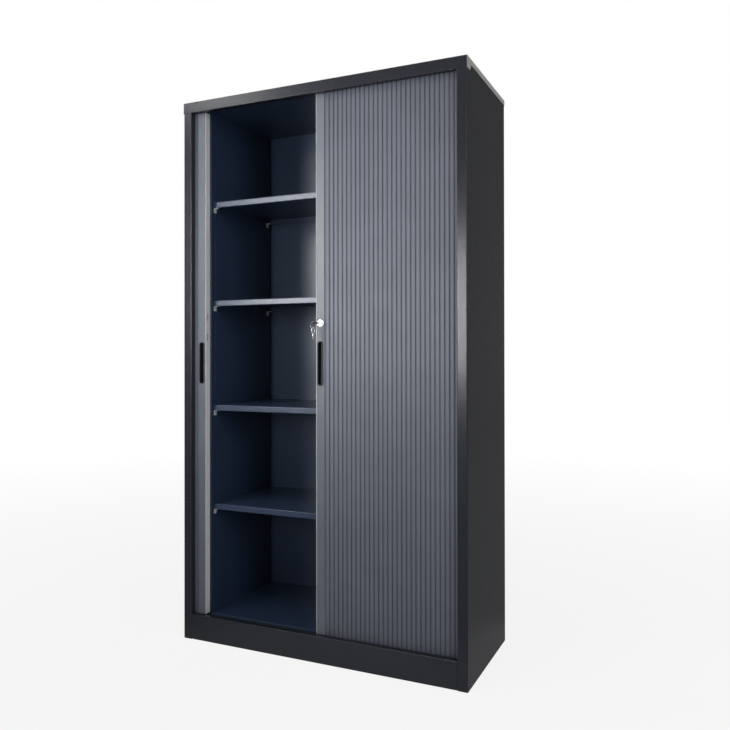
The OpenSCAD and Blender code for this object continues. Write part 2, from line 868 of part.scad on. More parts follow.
// Open socket round the bead of the next slat, centred on the hinge line
// It opens widest to the back, which is the way the curtain bends
module socket_section() {
    back_angle = 74;
    front_angle = 34;
    reach = 2 * socket_r;
    difference() {
        circle(r = socket_r);
        circle(r = bead_r + bead_gap);
        polygon([
            [0, 0],
            reach * [cos(back_angle), sin(back_angle)],
            reach * [1, sin(back_angle)],
            reach * [1, -sin(front_angle)],
            reach * [cos(front_angle), -sin(front_angle)]
        ]);
    }
}

// Slat seen from above, face down: bead at the origin, socket one pitch to the right
module slat_section() {
    face_from = slat_groove / 2;
    face_to = slat_pitch - slat_groove / 2;
    web = bead_r + bead_gap + socket_wall + 0.5;
    half_wall = slat_wall / 2;
    circle(r = bead_r);
    translate([0, -half_wall]) square([slat_pitch - socket_r + 0.6, slat_wall]);
    polygon(rounded_face(face_from, face_to));
    translate([web, -slat_front + half_wall]) square([slat_wall, slat_front]);
    translate([slat_pitch - socket_r - slat_wall, -slat_front + half_wall])
        square([slat_wall, slat_front]);
    translate([slat_pitch, 0]) socket_section();
}

// Face of a slat: a flat strip with rounded front corners
function rounded_face(from, to) = rounded([
    [from, -slat_front + slat_wall],
    [from, -slat_front],
    [to, -slat_front],
    [to, -slat_front + slat_wall]
], slat_wall * 0.8);

// Slats of the right-hand curtain whose first hinge is at a place along the line
module curtain(start, from, to) {
    s = hinges(start, slat_count);
    for (i = [from:to]) {
        p = track_point(s[i]);
        q = track_point(s[i + 1]);
        translate([p[0], p[1], slat_bottom])
            rotate([0, 0, atan2(q[1] - p[1], q[0] - p[0])])
                linear_extrude(slat_top - slat_bottom) slat_section();
    }
}

module right_tambour() {
    color(slat_grey) curtain(first_hinge, 1, slat_count - 1);
}

module right_lead_slat() {
    color(slat_grey) curtain(first_hinge, 0, 0);
}

module left_tambour() {
    color(slat_grey) left_of() curtain(first_hinge + travel, 1, slat_count - 1);
}

// Straight slat hinged on the lead bar of the open left door
module left_lead_slat() {
    color(slat_grey)
        left_of() translate([travel, 0, 0]) curtain(first_hinge, 0, 0);
}

// Lead bars, drawn for the right door when it is closed

module lead_section() {
    low = [lead_x + strip_t, face_y];
    high = [lead_end_x, face_y + lead_d];
    difference() {
        polygon(rounded([
            [low[0], high[1]], [low[0], low[1]], [high[0], low[1]], [high[0], high[1]]
        ], lead_corner_r));
        translate(low + [lead_wall, lead_wall])
            square(high - low - 2 * [lead_wall, lead_wall]);
    }
    translate([first_hinge, hinge_y]) socket_section();
}

// A slot with round ends, upright in the XZ plane, pushed back from one depth to another
module upright_slot(x, z, w, h, y_from, y_to) {
    translate([x, y_to, z]) rotate([90, 0, 0])
        linear_extrude(y_to - y_from) {
            square([w, h - w], center = true);
            for (end = [-1, 1]) translate([0, end * (h - w) / 2]) circle(d = w);
        }
}

module hook_slots(x_from, x_to, above, below = slot_below) {
    for (z = [upper_hook_z, lower_hook_z])
        block(
            [x_from, face_y + (hook_front + hook_back) / 2 - hook_slot_w / 2, z - below],
            [x_to, face_y + (hook_front + hook_back) / 2 + hook_slot_w / 2, z + above]
        );
}

module lead_bar() {
    difference() {
        translate([0, 0, lead_bottom]) linear_extrude(lead_top - lead_bottom) lead_section();
        upright_slot(lock_x, pull_z, pull_w + 2 * cup_wall + 2 * plug_gap,
                     pull_h + 2 * cup_wall + 2 * plug_gap,
                     face_y - 1, face_y + lead_wall + 1);
    }
}

module right_lead_bar() {
    color(slat_grey)
        difference() {
            lead_bar();
            hook_slots(lead_x + strip_t - 1, lead_x + strip_t + lead_wall + 1, slot_above_wall);
            shaft_y(lock_x, lock_z, face_y - 1, face_y + lead_wall + 1, barrel_r + screw_gap);
        }
}

// The left bar stands at the left stile and takes the barbs of the hook bolts behind its strip
module left_lead_bar() {
    color(slat_grey)
        left_of() translate([travel, 0, 0])
            difference() {
                lead_bar();
                hook_slots(lead_x + strip_t - 1, lead_x + strip_t + lead_wall + 1,
                           slot_above + 1, barb_side + 1.5);
            }
}

module edge_strip() {
    difference() {
        block([lead_x, face_y + strip_inset, lead_bottom],
              [lead_x + strip_t, face_y + lead_d - strip_inset, lead_top]);
        hook_slots(lead_x - 1, lead_x + strip_t + 1, slot_above);
    }
}

module right_edge_strip() {
    color(strip_grey) edge_strip();
}

module left_edge_strip() {
    color(strip_grey) left_of() translate([travel, 0, 0]) edge_strip();
}

// Finger pull: an open cup with round ends behind a thin rim
module pull_cup() {
    difference() {
        union() {
            upright_slot(lock_x, pull_z, pull_w + 2 * cup_wall, pull_h + 2 * cup_wall,
                         face_y - cup_rim_t / 2, face_y + pull_depth + cup_wall);
            upright_slot(lock_x, pull_z, pull_w + 2 * cup_wall + 2 * cup_rim,
                         pull_h + 2 * cup_wall + 2 * cup_rim, face_y - cup_rim_t, face_y);
        }
        upright_slot(lock_x, pull_z, pull_w, pull_h, face_y - cup_rim_t - 1,
                     face_y + pull_depth);
    }
}

module right_pull_cup() {
    color(track_black) pull_cup();
}

module left_pull_cup() {
    color(track_black) left_of() translate([travel, 0, 0]) pull_cup();
}

// Glider in the foot of a lead bar: a plug, a collar and a shoe that runs in the track
module glider() {
    low = [lead_x + strip_t + lead_wall + plug_gap, face_y + lead_wall + plug_gap];
    high = [lead_end_x - lead_wall - plug_gap, face_y + lead_d - lead_wall - plug_gap];
    block([low[0], low[1], lead_bottom], [high[0], high[1], lead_bottom + glider_plug]);
    block([low[0] - lead_wall, low[1], plinth_h + shoe_gap], [high[0], high[1], lead_bottom]);
    block(
        [low[0], hinge_y - track_out + shoe_gap, lead_bottom - lead_gap - glider_shoe],
        [high[0], hinge_y + track_in - shoe_gap, lead_bottom]
    );
}

module glider_pair() {
    mid = (track_bottom_z + track_top_z) / 2;
    glider();
    translate([0, 0, 2 * mid]) mirror([0, 0, 1]) glider();
}

module right_gliders() {
    color(track_black) glider_pair();
}

module left_gliders() {
    color(track_black) left_of() translate([travel, 0, 0]) glider_pair();
}

// Lock

// Rose and barrel, fixed in the right lead bar
module lock_housing() {
    color(chrome_grey)
        difference() {
            union() {
                translate([lock_x, face_y, lock_z]) rotate([90, 0, 0])
                    rotate_extrude()
                        polygon([[0, 0], [rose_r, 0], [rose_r, rose_t * 0.5],
                                 [rose_r - rose_t * 0.5, rose_t], [0, rose_t]]);
                shaft_y(lock_x, lock_z, face_y - 0.1, face_y + barrel_back, barrel_r);
            }
            shaft_y(lock_x, lock_z, face_y - rose_t - 1, face_y + barrel_back + 1,
                    plug_r + lock_gap);
        }
}

// Case: the plate behind the face of the bar, with the two posts that carry the hook bolts
module lock_case() {
    plate_y = face_y + lead_wall;
    color(zinc)
        difference() {
            union() {
                block(
                    [lead_x + strip_t + lead_wall + 0.2, plate_y, lower_hook_z - 8],
                    [lead_end_x - lead_wall - 0.2, plate_y + case_t, upper_hook_z + 12]
                );
                for (z = [upper_hook_z, lower_hook_z]) {
                    shaft_y(hook_x, z, plate_y + 0.1, face_y + post_shoulder, post_foot_r);
                    shaft_y(hook_x, z, plate_y + 0.1, face_y + hook_back, post_r);
                }
            }
            shaft_y(lock_x, lock_z, plate_y - 1, plate_y + case_t + 1, barrel_r + screw_gap);
        }
}

// A crank arm with its pin, from a pivot towards +X
module crank(x, z) {
    block(
        [x, face_y + hook_front, z - crank_end_r],
        [x + crank_r, face_y + hook_back, z + crank_end_r]
    );
    shaft_y(x + crank_r, z, face_y + hook_front, face_y + hook_back, crank_end_r);
    shaft_y(x + crank_r, z, face_y + hook_front, face_y + pin_back, pin_r);
}

// Plug with its keyway and the crank that drives the link bar
module lock_plug() {
    keyway_w = blade_w + 2 * keyway_gap;
    keyway_h = key_t + 2 * keyway_gap;
    color(chrome_grey) {
        difference() {
            shaft_y(lock_x, lock_z, face_y - plug_front, face_y + barrel_back, plug_r);
            block(
                [lock_x - keyway_w / 2, face_y - plug_front - 1, lock_z - keyway_h / 2],
                [lock_x + keyway_w / 2, face_y - plug_front + blade_in + keyway_gap,
                 lock_z + keyway_h / 2]
            );
        }
        shaft_y(lock_x, lock_z, face_y + barrel_back - 0.1, face_y + hook_back, tail_r);
        crank(lock_x, lock_z);
    }
}

// Hook bolt: hub, arm and barb, drawn lying along +Z as when unlocked
module hook_bolt(z) {
    color(zinc)
        difference() {
            union() {
                translate([hook_x, face_y + hook_back, z]) rotate([90, 0, 0])
                    linear_extrude(hook_t) {
                        circle(r = hub_r);
                        polygon([
                            [hook_w / 2, 0],
                            [hook_w / 2, hook_reach - 1.5],
                            [hook_w / 2 - 1.5, hook_reach],
                            [-barb_side + 1, hook_reach],
                            [-barb_side, hook_reach - 1],
                            [-barb_side, barb_from],
                            [-hook_w / 2, barb_from],
                            [-hook_w / 2, 0]
                        ]);
                    }
                crank(hook_x, z);
            }
            shaft_y(hook_x, z, face_y + hook_front - 1, face_y + hook_back + 1,
                    post_r + lock_gap);
        }
}

module upper_hook_bolt() { hook_bolt(upper_hook_z); }
module lower_hook_bolt() { hook_bolt(lower_hook_z); }

// Link bar: joins the cranks of the plug and of both hook bolts
module link_bar() {
    pins = [
        [hook_x + crank_r, upper_hook_z],
        [lock_x + crank_r, lock_z],
        [hook_x + crank_r, lower_hook_z]
    ];
    edge = pin_r + link_edge;
    color(zinc)
        difference() {
            union() {
                for (pin = pins)
                    shaft_y(pin[0], pin[1], face_y + link_front, face_y + pin_back, edge);
                block(
                    [hook_x + crank_r - edge, face_y + link_front, lower_hook_z],
                    [hook_x + crank_r + edge, face_y + pin_back, upper_hook_z]
                );
                block(
                    [hook_x + crank_r, face_y + link_front, lock_z - edge],
                    [lock_x + crank_r, face_y + pin_back, lock_z + edge]
                );
            }
            for (pin = pins)
                shaft_y(pin[0], pin[1], face_y + link_front - 1, face_y + pin_back + 1,
                        pin_r + lock_gap);
        }
}

// Keys

// Neck and blade of a key that lies flat: bow centre at the origin, blade towards +X
module key_outline(neck) {
    tip = neck + blade_in;
    shoulder = blade_w / 2 + 1;
    difference() {
        union() {
            translate([0, -shoulder]) square([neck - 0.4, 2 * shoulder]);
            polygon([
                [neck - 1, -blade_w / 2], [tip - 2, -blade_w / 2], [tip, -1],
                [tip, 1], [tip - 2, blade_w / 2], [neck - 1, blade_w / 2]
            ]);
        }
        for (i = [1:3])
            translate([neck + blade_in * i / 4, blade_w / 2])
                rotate([0, 0, 45]) square(1.2 + 0.36 * (i % 2), center = true);
    }
}

// Key in the lock: a flat blade moulded into a round-sectioned plastic bow
module key() {
    color(track_black)
        translate([lock_x, key_y, lock_z]) rotate([0, 0, 90]) {
            rotate_extrude() translate([rim_mid, 0]) circle(r = rim_w / 2, $fn = 24);
            linear_extrude(key_t, center = true)
                difference() {
                    key_outline(bow_centre_out - plug_front);
                    circle(r = rim_mid);
                }
        }
}

// Ring through the bow of the key, hanging from its left rim
module key_ring() {
    color(chrome_grey)
        translate([rim_x, key_y, ring_z]) rotate([90, 0, 0])
            rotate_extrude() translate([ring_r, 0]) circle(r = ring_wire_r, $fn = 16);
}

// Spare key of plain metal, hanging from the bottom of the ring, edge on to the front
module spare_key() {
    color(chrome_grey)
        translate([rim_x, key_y, spare_bow_z])
            rotate([0, 90, 0])
                linear_extrude(key_t, center = true)
                    difference() {
                        union() {
                            circle(r = bow_r);
                            key_outline(bow_r + 3);
                        }
                        circle(r = bow_hole_r);
                    }
}

top_panel();
head_panel();
left_side_panel();
right_side_panel();
left_inner_panel();
right_inner_panel();
back_panel();
base_panel();
floor_panel();
plinth();
rear_base_rail();
shelf_1();
shelf_2();
shelf_3();
shelf_4();
shelf_clips();
bottom_front_track();
top_front_track();
left_bottom_track();
right_bottom_track();
left_top_track();
right_top_track();
track_stops();
back_panel_screws();
foot_bushes();
left_tambour();
right_tambour();
right_lead_bar();
right_edge_strip();
right_lead_slat();
right_pull_cup();
right_gliders();
lock_housing();
lock_case();
left_lead_bar();
left_edge_strip();
left_lead_slat();
left_pull_cup();
left_gliders();
lock_plug();
key();
upper_hook_bolt();
lower_hook_bolt();
link_bar();
key_ring();
spare_key();
front_left_foot();
front_right_foot();
rear_left_foot();
rear_right_foot();
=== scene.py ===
"""Looks of a tambour door cabinet: finishes, curtains, finger pulls, lock, keys and studio.

Lengths are in metres in the cabinet's own frame: origin at the centre of the footprint on the
floor, +X to the viewer's right, -Y out of the doors and +Z up.
"""
import json
import logging
import math
from dataclasses import dataclass
from enum import Enum
from typing import Callable, Iterable

import bmesh
import bpy
from mathutils import Matrix, Vector

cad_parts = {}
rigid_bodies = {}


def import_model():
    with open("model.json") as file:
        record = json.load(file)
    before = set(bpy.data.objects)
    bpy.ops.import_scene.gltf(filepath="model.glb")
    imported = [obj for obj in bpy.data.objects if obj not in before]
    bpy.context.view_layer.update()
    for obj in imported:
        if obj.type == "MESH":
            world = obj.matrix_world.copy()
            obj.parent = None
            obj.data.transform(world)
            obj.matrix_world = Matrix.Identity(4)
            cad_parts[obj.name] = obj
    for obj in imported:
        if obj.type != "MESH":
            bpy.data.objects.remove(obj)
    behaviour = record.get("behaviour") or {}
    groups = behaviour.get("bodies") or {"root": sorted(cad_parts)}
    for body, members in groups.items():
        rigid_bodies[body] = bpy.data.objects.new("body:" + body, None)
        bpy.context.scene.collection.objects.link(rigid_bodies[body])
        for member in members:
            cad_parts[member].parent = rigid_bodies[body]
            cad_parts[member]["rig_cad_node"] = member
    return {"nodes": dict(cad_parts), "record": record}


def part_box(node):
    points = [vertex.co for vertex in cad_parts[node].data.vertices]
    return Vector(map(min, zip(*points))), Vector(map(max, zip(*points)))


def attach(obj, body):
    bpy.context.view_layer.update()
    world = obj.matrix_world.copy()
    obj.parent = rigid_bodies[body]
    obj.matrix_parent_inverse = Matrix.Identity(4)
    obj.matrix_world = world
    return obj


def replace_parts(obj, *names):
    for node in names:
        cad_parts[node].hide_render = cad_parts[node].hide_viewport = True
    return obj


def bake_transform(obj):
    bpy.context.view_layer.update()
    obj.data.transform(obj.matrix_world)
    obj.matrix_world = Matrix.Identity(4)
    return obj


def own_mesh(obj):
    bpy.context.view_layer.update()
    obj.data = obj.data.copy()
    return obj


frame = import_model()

logging.basicConfig(level=logging.INFO, format="%(message)s")
log = logging.getLogger("cabinet")

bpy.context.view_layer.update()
MM = 0.001
PAST = 1 * MM  # how far a cutting tool reaches past what it cuts

Piece = bpy.types.Object
Socket = bpy.types.NodeSocket
Numbers = Iterable[float]
Inputs = dict[int | str, Socket | float | tuple[float, ...]]
Shade = tuple[int, int, int]
Test = Callable[[Vector], bool]


class Side(Enum):
    """The two sides of the cabinet, as the sign of X."""

    LEFT = -1
    RIGHT = 1

    @property
    def word(self) -> str:
        """The side's name as it stands in node names."""
        return self.name.lower()


# Mesh helpers


def deselect() -> None:
    """Deselects every object, so that an operator acts only on the new one."""
    if bpy.context.object is not None and bpy.context.object.mode != "OBJECT":
        bpy.ops.object.mode_set(mode="OBJECT")
    bpy.ops.object.select_all(action="DESELECT")


def make_active(piece: Piece) -> None:
    """Selects one object alone and makes it the active one.

    Args:
        piece: The object that the next operators act on.
    """
    deselect()
    piece.select_set(True)
    bpy.context.view_layer.objects.active = piece


def named(name: str) -> Piece:
    """Names the object that was added last.

    Args:
        name: The piece's name.

    Returns:
        The active object.
    """
    piece = bpy.context.object
    piece.name = name
    piece.data.name = name
    return piece


def settle(piece: Piece) -> Piece:
    """Moves an object's place, turn and scale into its mesh.

    Args:
        piece: The object to settle.

    Returns:
        The same object, at the origin.
    """
    make_active(piece)
    bpy.ops.object.transform_apply(location=True, rotation=True, scale=True)
    return piece


def add_block(name: str, low: Numbers, high: Numbers) -> Piece:
    """Adds a block by its lowest and highest corners.

    Args:
        name: The piece's name.
        low: The lowest corner.
        high: The highest corner.

    Returns:
        The block, settled.
    """
    low, high = Vector(low), Vector(high)
    deselect()
    bpy.ops.mesh.primitive_cube_add(size=1, location=(low + high) / 2)
    piece = named(name)
    piece.scale = high - low
    return settle(piece)


def add_beam(name: str, at: Vector, half_x: float, y_from: float, y_to: float,
             half_z: float) -> Piece:
    """Adds a block along Y, whose middle in X and Z is that of a point."""
    return add_block(name, (at.x - half_x, y_from, at.z - half_z),
                     (at.x + half_x, y_to, at.z + half_z))


def add_drum(name: str, start: Numbers, end: Numbers, radius: float, vertices: int = 48) -> Piece:
    """Adds a cylinder between two points.

    Args:
        name: The piece's name.
        start: The middle of one end.
        end: The middle of the other end.
        radius: The cylinder's radius.
        vertices: How many sides it has.

    Returns:
        The cylinder, settled.
    """
    start, end = Vector(start), Vector(end)
    along = end - start
    deselect()
    bpy.ops.mesh.primitive_cylinder_add(
        vertices=vertices, radius=radius, depth=along.length, location=(start + end) / 2,
        rotation=along.to_track_quat("Z", "Y").to_euler())
    return settle(named(name))


def add_hoop(name: str, centre: Numbers, radius: float, wire: float, axis: Numbers) -> Piece:
    """Adds a torus.

    Args:
        name: The piece's name.
        centre: Its centre.
        radius: The radius of its centre line.
        wire: The radius of its wire.
        axis: The direction of its axis.

    Returns:
        The torus, settled.
    """
    deselect()
    bpy.ops.mesh.primitive_torus_add(
        major_radius=radius, minor_radius=wire, major_segments=72, minor_segments=18,
        location=tuple(centre), rotation=Vector(axis).to_track_quat("Z", "Y").to_euler())
    return settle(named(name))


def add_stadium(name: str, centre: Numbers, width: float, height: float, y_from: float,
                y_to: float) -> Piece:
    """Adds an upright solid with round ends whose axis lies along Y.

    Args:
        name: The piece's name.
        centre: X and Z of its middle.
        width: Its width.
        height: Its whole height.
        y_from: Where it starts.
        y_to: Where it ends.

    Returns:
        The solid, settled.
    """
    x, z = centre
    piece = add_drum(name, (x, y_from, z), (x, y_to, z), width / 2, 50)
    reach = (height - width) / 2
    for test, way in ((lambda v: v.z > z, reach), (lambda v: v.z < z - 0.02 * MM, -reach)):
        pick(piece, "VERT", test)
        bpy.ops.transform.translate(value=(0, 0, way))
    leave_edit()
    return piece


def pick(piece: Piece, kind: str, test: Test) -> None:
    """Selects the vertices, edges or faces of a piece that pass a test, in edit mode.

    An edge or face passes if all its vertices do.

    Args:
        piece: The piece, which is left in edit mode.
        kind: VERT, EDGE or FACE.
        test: Says whether a vertex, at its place, passes.
    """
    if piece.mode != "EDIT":
        make_active(piece)
        bpy.ops.object.mode_set(mode="EDIT")
    bpy.ops.mesh.select_mode(type=kind)
    bpy.ops.mesh.select_all(action="DESELECT")
    mesh = bmesh.from_edit_mesh(piece.data)
    passed = {v.index for v in mesh.verts if test(v.co)}
    parts = {"VERT": mesh.verts, "EDGE": mesh.edges, "FACE": mesh.faces}[kind]
    for part in parts:
        around = [part] if kind == "VERT" else part.verts
        if all(v.index in passed for v in around):
            part.select = True
    mesh.select_flush_mode()
    bmesh.update_edit_mesh(piece.data)


def keep_edges(piece: Piece, test: Callable[[Vector, Vector], bool]) -> None:
    """Keeps only the selected edges that pass a test.

    Args:
        piece: The piece, in edit mode.
        test: Says whether an edge, given by the places of its ends, stays selected.
    """
    mesh = bmesh.from_edit_mesh(piece.data)
    for edge in mesh.edges:
        if edge.select and not test(*(v.co for v in edge.verts)):
            edge.select = False
    bmesh.update_edit_mesh(piece.data)


def round_selected(width: float, segments: int) -> None:
    """Bevels the selected edges and goes back to object mode."""
    bpy.ops.mesh.bevel(offset=width, segments=segments, affect="EDGES")
    leave_edit()


def leave_edit() -> None:
    """Goes back to object mode."""
    bpy.ops.object.mode_set(mode="OBJECT")


def near(value: float, goal: float, within: float = 0.02 * MM) -> bool:
    """Says whether two lengths are the same but for a small difference."""
    return abs(value - goal) < within


def smooth(piece: Piece, angle: float = 35) -> Piece:
    """Shades a piece smooth but for its sharp edges, with its normals outwards.

    Args:
        piece: The piece to shade.
        angle: The angle in degrees above which an edge stays sharp.

    Returns:
        The same piece.
    """
    make_active(piece)
    bpy.ops.object.mode_set(mode="EDIT")
    bpy.ops.mesh.select_all(action="SELECT")
    bpy.ops.mesh.normals_make_consistent(inside=False)
    leave_edit()
    bpy.ops.object.shade_smooth_by_angle(angle=math.radians(angle))
    return piece


def bevelled(piece: Piece, width: float, segments: int = 3, angle: float = 40) -> Piece:
    """Rounds every sharp edge of a piece with an applied Bevel modifier.

    Args:
        piece: The piece to round.
        width: The width of the bevel.
        segments: The steps of each round.
        angle: The angle in degrees above which an edge is rounded.

    Returns:
        The same piece.
    """
    make_active(piece)
    modifier = piece.modifiers.new("edges", "BEVEL")
    modifier.width = width
    modifier.segments = segments
    modifier.limit_method = "ANGLE"
    modifier.angle_limit = math.radians(angle)
    bpy.ops.object.modifier_apply(modifier=modifier.name)
    return piece


def combined(name: str, pieces: list[Piece]) -> Piece:
    """Joins pieces into one.

    Args:
        name: The name of the whole.
        pieces: The pieces to join, of which the first one stays.

    Returns:
        The joined piece.
    """
    deselect()
    for piece in pieces:
        piece.select_set(True)
    bpy.context.view_layer.objects.active = pieces[0]
    bpy.ops.object.join()
    return named(name)


def cut(piece: Piece, tool: Piece, operation: str = "DIFFERENCE") -> Piece:
    """Cuts one closed piece out of another, or fuses them, and removes the tool.

    Args:
        piece: The piece that is cut or stays.
        tool: The solid that is taken away or added.
        operation: DIFFERENCE or UNION.

    Returns:
        The changed piece.
    """
    make_active(piece)
    modifier = piece.modifiers.new("cut", "BOOLEAN")
    modifier.operation = operation
    modifier.solver = "EXACT"
    modifier.object = tool
    bpy.ops.object.modifier_apply(modifier=modifier.name)
    bpy.data.objects.remove(tool, do_unlink=True)
    return piece


def copies(name: str, pattern: Piece, places: list[Matrix]) -> Piece:
    """Makes one piece of several copies of a pattern and removes the pattern.

    Args:
        name: The name of the whole.
        pattern: The piece that repeats.
        places: One matrix for each copy.

    Returns:
        The piece that holds all the copies.
    """
    parts = []
    for place in places:
        part = pattern.copy()
        part.data = pattern.data.copy()
        part.data.transform(place)
        bpy.context.scene.collection.objects.link(part)
        parts.append(part)
    bpy.data.objects.remove(pattern, do_unlink=True)
    return combined(name, parts)


# Finishes


class Graph:
    """A node tree that is being made, with short calls to add and feed its nodes."""

    def __init__(self, owner: bpy.types.Material | bpy.types.World) -> None:
        """Takes up a node tree.

        Args:
            owner: The material or world that has it.
        """
        owner.use_nodes = True
        self.nodes = owner.node_tree.nodes
        self.links = owner.node_tree.links

    def feed(self, node: bpy.types.Node, inputs: Inputs) -> None:
        """Links inputs of a node to sockets or sets them to values.

        Args:
            node: The node.
            inputs: The socket or value of each input, by its name or place.
        """
        for name, value in inputs.items():
            if isinstance(value, Socket):
                self.links.new(value, node.inputs[name])
            else:
                node.inputs[name].default_value = value

    def node(self, kind: str, inputs: Inputs, **settings: str | int) -> bpy.types.Node:
        """Adds a node.

        Args:
            kind: Its type, without the word ShaderNode in front.
            inputs: The socket or value of each input that is used.
            settings: Its other settings.

        Returns:
            The node.
        """
        node = self.nodes.new(f"ShaderNode{kind}")
        for name, value in settings.items():
            setattr(node, name, value)
        self.feed(node, inputs)
        return node

    def math(self, operation: str, first: Socket, second: Socket | float = 0) -> Socket:
        """The result of a Math node from a socket and a socket or number."""
        return self.node("Math", {0: first, 1: second}, operation=operation).outputs["Value"]

    def ranged(self, value: Socket, low: float, high: float, start: float = 0.3,
               end: float = 0.7) -> Socket:
        """A value brought from the range start to end into the range low to high."""
        return self.node("MapRange", {"Value": value, "From Min": start, "From Max": end,
                                      "To Min": low, "To Max": high}).outputs["Result"]


class Sketch(Graph):
    """A material that is being made, with short calls for what the finishes share."""

    def __init__(self, name: str) -> None:
        """Starts a material.

        Args:
            name: The material's name.
        """
        self.material = bpy.data.materials.new(name)
        super().__init__(self.material)
        self.shader = self.nodes["Principled BSDF"]
        self.place = self.node("TexCoord", {}).outputs["Object"]

    def set(self, **inputs: Socket | float | tuple[float, ...]) -> None:
        """Feeds the shader, with underscores for the spaces in its inputs' names."""
        self.feed(self.shader, {name.replace("_", " "): inputs[name] for name in inputs})

    def stretched(self, x: float, y: float, z: float) -> Socket:
        """The object's coordinates, scaled differently along X, Y and Z."""
        return self.node("Mapping", {"Vector": self.place, "Scale": (x, y, z)}).outputs["Vector"]

    def noise(self, scale: float, detail: float = 2, roughness: float = 0.5,
              place: Socket | None = None) -> Socket:
        """A noise texture.

        Args:
            scale: Its scale, in waves a metre.
            detail: Its octaves.
            roughness: How strong the finer octaves are.
            place: Coordinates other than the object's.

        Returns:
            The socket of its grey value.
        """
        inputs = {"Vector": place or self.place, "Scale": scale, "Detail": detail,
                  "Roughness": roughness}
        return self.node("TexNoise", inputs).outputs["Fac"]

    def along(self, axis: str) -> Socket:
        """The object's coordinate along X, Y or Z."""
        return self.node("SeparateXYZ", {"Vector": self.place}).outputs[axis]

    def mottled(self, cloud: Socket, colour: Shade, low: float, high: float) -> Socket:
        """A colour whose brightness follows a cloud between two shares of its own."""
        base = linear(*colour)
        return self.mixed(cloud, [c * low for c in base], [c * high for c in base])

    def mixed(self, share: Socket, first: Numbers, second: Numbers) -> Socket:
        """A colour between two others, with the share of the second one."""
        inputs = {"Factor": share, "A": (*first, 1), "B": (*second, 1)}
        return self.node("Mix", inputs, data_type="RGBA").outputs["Result"]

    def bump(self, height: Socket, strength: float, distance: float,
             under: Socket | None = None) -> Socket:
        """A bump from a height.

        Args:
            height: The socket of the height.
            strength: How much of the bump shows.
            distance: The height of the bump in metres.
            under: The normal that this bump lies on.

        Returns:
            The socket of the bumped normal.
        """
        inputs = {"Height": height, "Strength": strength, "Distance": distance}
        if under is not None:
            inputs["Normal"] = under
        return self.node("Bump", inputs).outputs["Normal"]


def linear(red: int, green: int, blue: int) -> tuple[float, float, float]:
    """A colour given as screen values from 0 to 255, as linear values.

    Args:
        red: The red value.
        green: The green value.
        blue: The blue value.

    Returns:
        The three linear values.
    """

    def channel(value: int) -> float:
        """One of its three values."""
        share = value / 255
        return share / 12.92 if share <= 0.04045 else ((share + 0.055) / 1.055) ** 2.4

    return channel(red), channel(green), channel(blue)


@dataclass(frozen=True)
class PowderCoat:
    """Sheet steel with a fine orange-peel powder coat."""

    name: str
    colour: Shade
    gloss: float
    peel: float
    specular: float = 0.5
    # Painted highlight: a sheen masked on beyond this X to both sides, on the top cap's flanges.
    rim_x: float | None = None
    bend: float = 2.2 * MM

    def make(self) -> bpy.types.Material:
        """Makes the material, with a painted highlight on the side flanges if their X is given.
        """
        sketch = Sketch(self.name)
        cloud = sketch.ranged(sketch.noise(6, 3), 0, 1)
        grain = sketch.noise(430, 2, 0.6)
        bends = sketch.node("Bevel", {"Radius": self.bend}, samples=6).outputs["Normal"]
        coarse = sketch.bump(grain, self.peel, 0.35 * MM, bends)
        sketch.set(Base_Color=sketch.mottled(cloud, self.colour, 0.93, 1.07),
                   Roughness=sketch.ranged(grain, self.gloss - 0.05, self.gloss + 0.07),
                   Normal=sketch.bump(sketch.noise(1300, 1), self.peel * 0.5, 0.12 * MM, coarse),
                   Specular_IOR_Level=self.specular)
        if self.rim_x is not None:
            # Painted highlight: a sheen masked by X onto the flanges stands in for the light they
            # catch.
            outwards = sketch.math("ABSOLUTE", sketch.along("X"))
            rim = sketch.ranged(outwards, 0, 1, self.rim_x, self.rim_x + 0.1 * MM)
            sketch.set(Sheen_Weight=rim, Sheen_Roughness=0.7, Sheen_Tint=(1, 1, 0.97, 1))
        return sketch.material


@dataclass(frozen=True)
class Extrusion:
    """Satin plastic drawn along Z, with faint die lines."""

    name: str
    colour: Shade
    gloss: float
    lip: Shade | None = None
    lip_from: float = -0.1872
    # Reach of a painted shade: ambient occlusion darkens the colour in grooves; 0 leaves it out.
    hollow: float = 0

    def make(self) -> bpy.types.Material:
        """Makes the material: a lip of another colour at the back, and painted shade in hollows,
        if set.
        """
        sketch = Sketch(self.name)
        lines = sketch.noise(900, 2, 0.5, sketch.stretched(1, 1, 0.004))
        if self.lip is None:
            cloud = sketch.ranged(sketch.noise(9, 2), 0, 1)
            colour = sketch.mottled(cloud, self.colour, 0.95, 1.05)
        else:
            behind = sketch.ranged(sketch.along("Y"), 0, 1, self.lip_from,
                                   self.lip_from + 0.2 * MM)
            colour = sketch.mixed(behind, linear(*self.colour), linear(*self.lip))
        # Painted shade: ambient occlusion darkens the colour in the grooves, where shade falls.
        if self.hollow:
            inputs = {"Color": colour, "Distance": self.hollow}
            colour = sketch.node("AmbientOcclusion", inputs, samples=8).outputs["Color"]
        drawn = sketch.bump(lines, 0.15, 0.08 * MM)
        sketch.set(Base_Color=colour,
                   Roughness=sketch.ranged(lines, self.gloss - 0.04, self.gloss + 0.06),
                   Normal=sketch.bump(sketch.noise(700, 2), 0.18, 0.1 * MM, drawn))
        return sketch.material


@dataclass(frozen=True)
class Moulded:
    """Moulded plastic or rubber with a fine spark-eroded grain."""

    name: str
    colour: Shade
    gloss: float
    grain: float = 0.2

    def make(self) -> bpy.types.Material:
        """Makes the material."""
        sketch = Sketch(self.name)
        speck = sketch.noise(1600, 3)
        cloud = sketch.ranged(speck, 0, 1)
        sketch.set(Base_Color=sketch.mottled(cloud, self.colour, 0.9, 1.1),
                   Roughness=sketch.ranged(speck, self.gloss - 0.06, self.gloss + 0.08),
                   Normal=sketch.bump(speck, self.grain, 0.08 * MM))
        return sketch.material


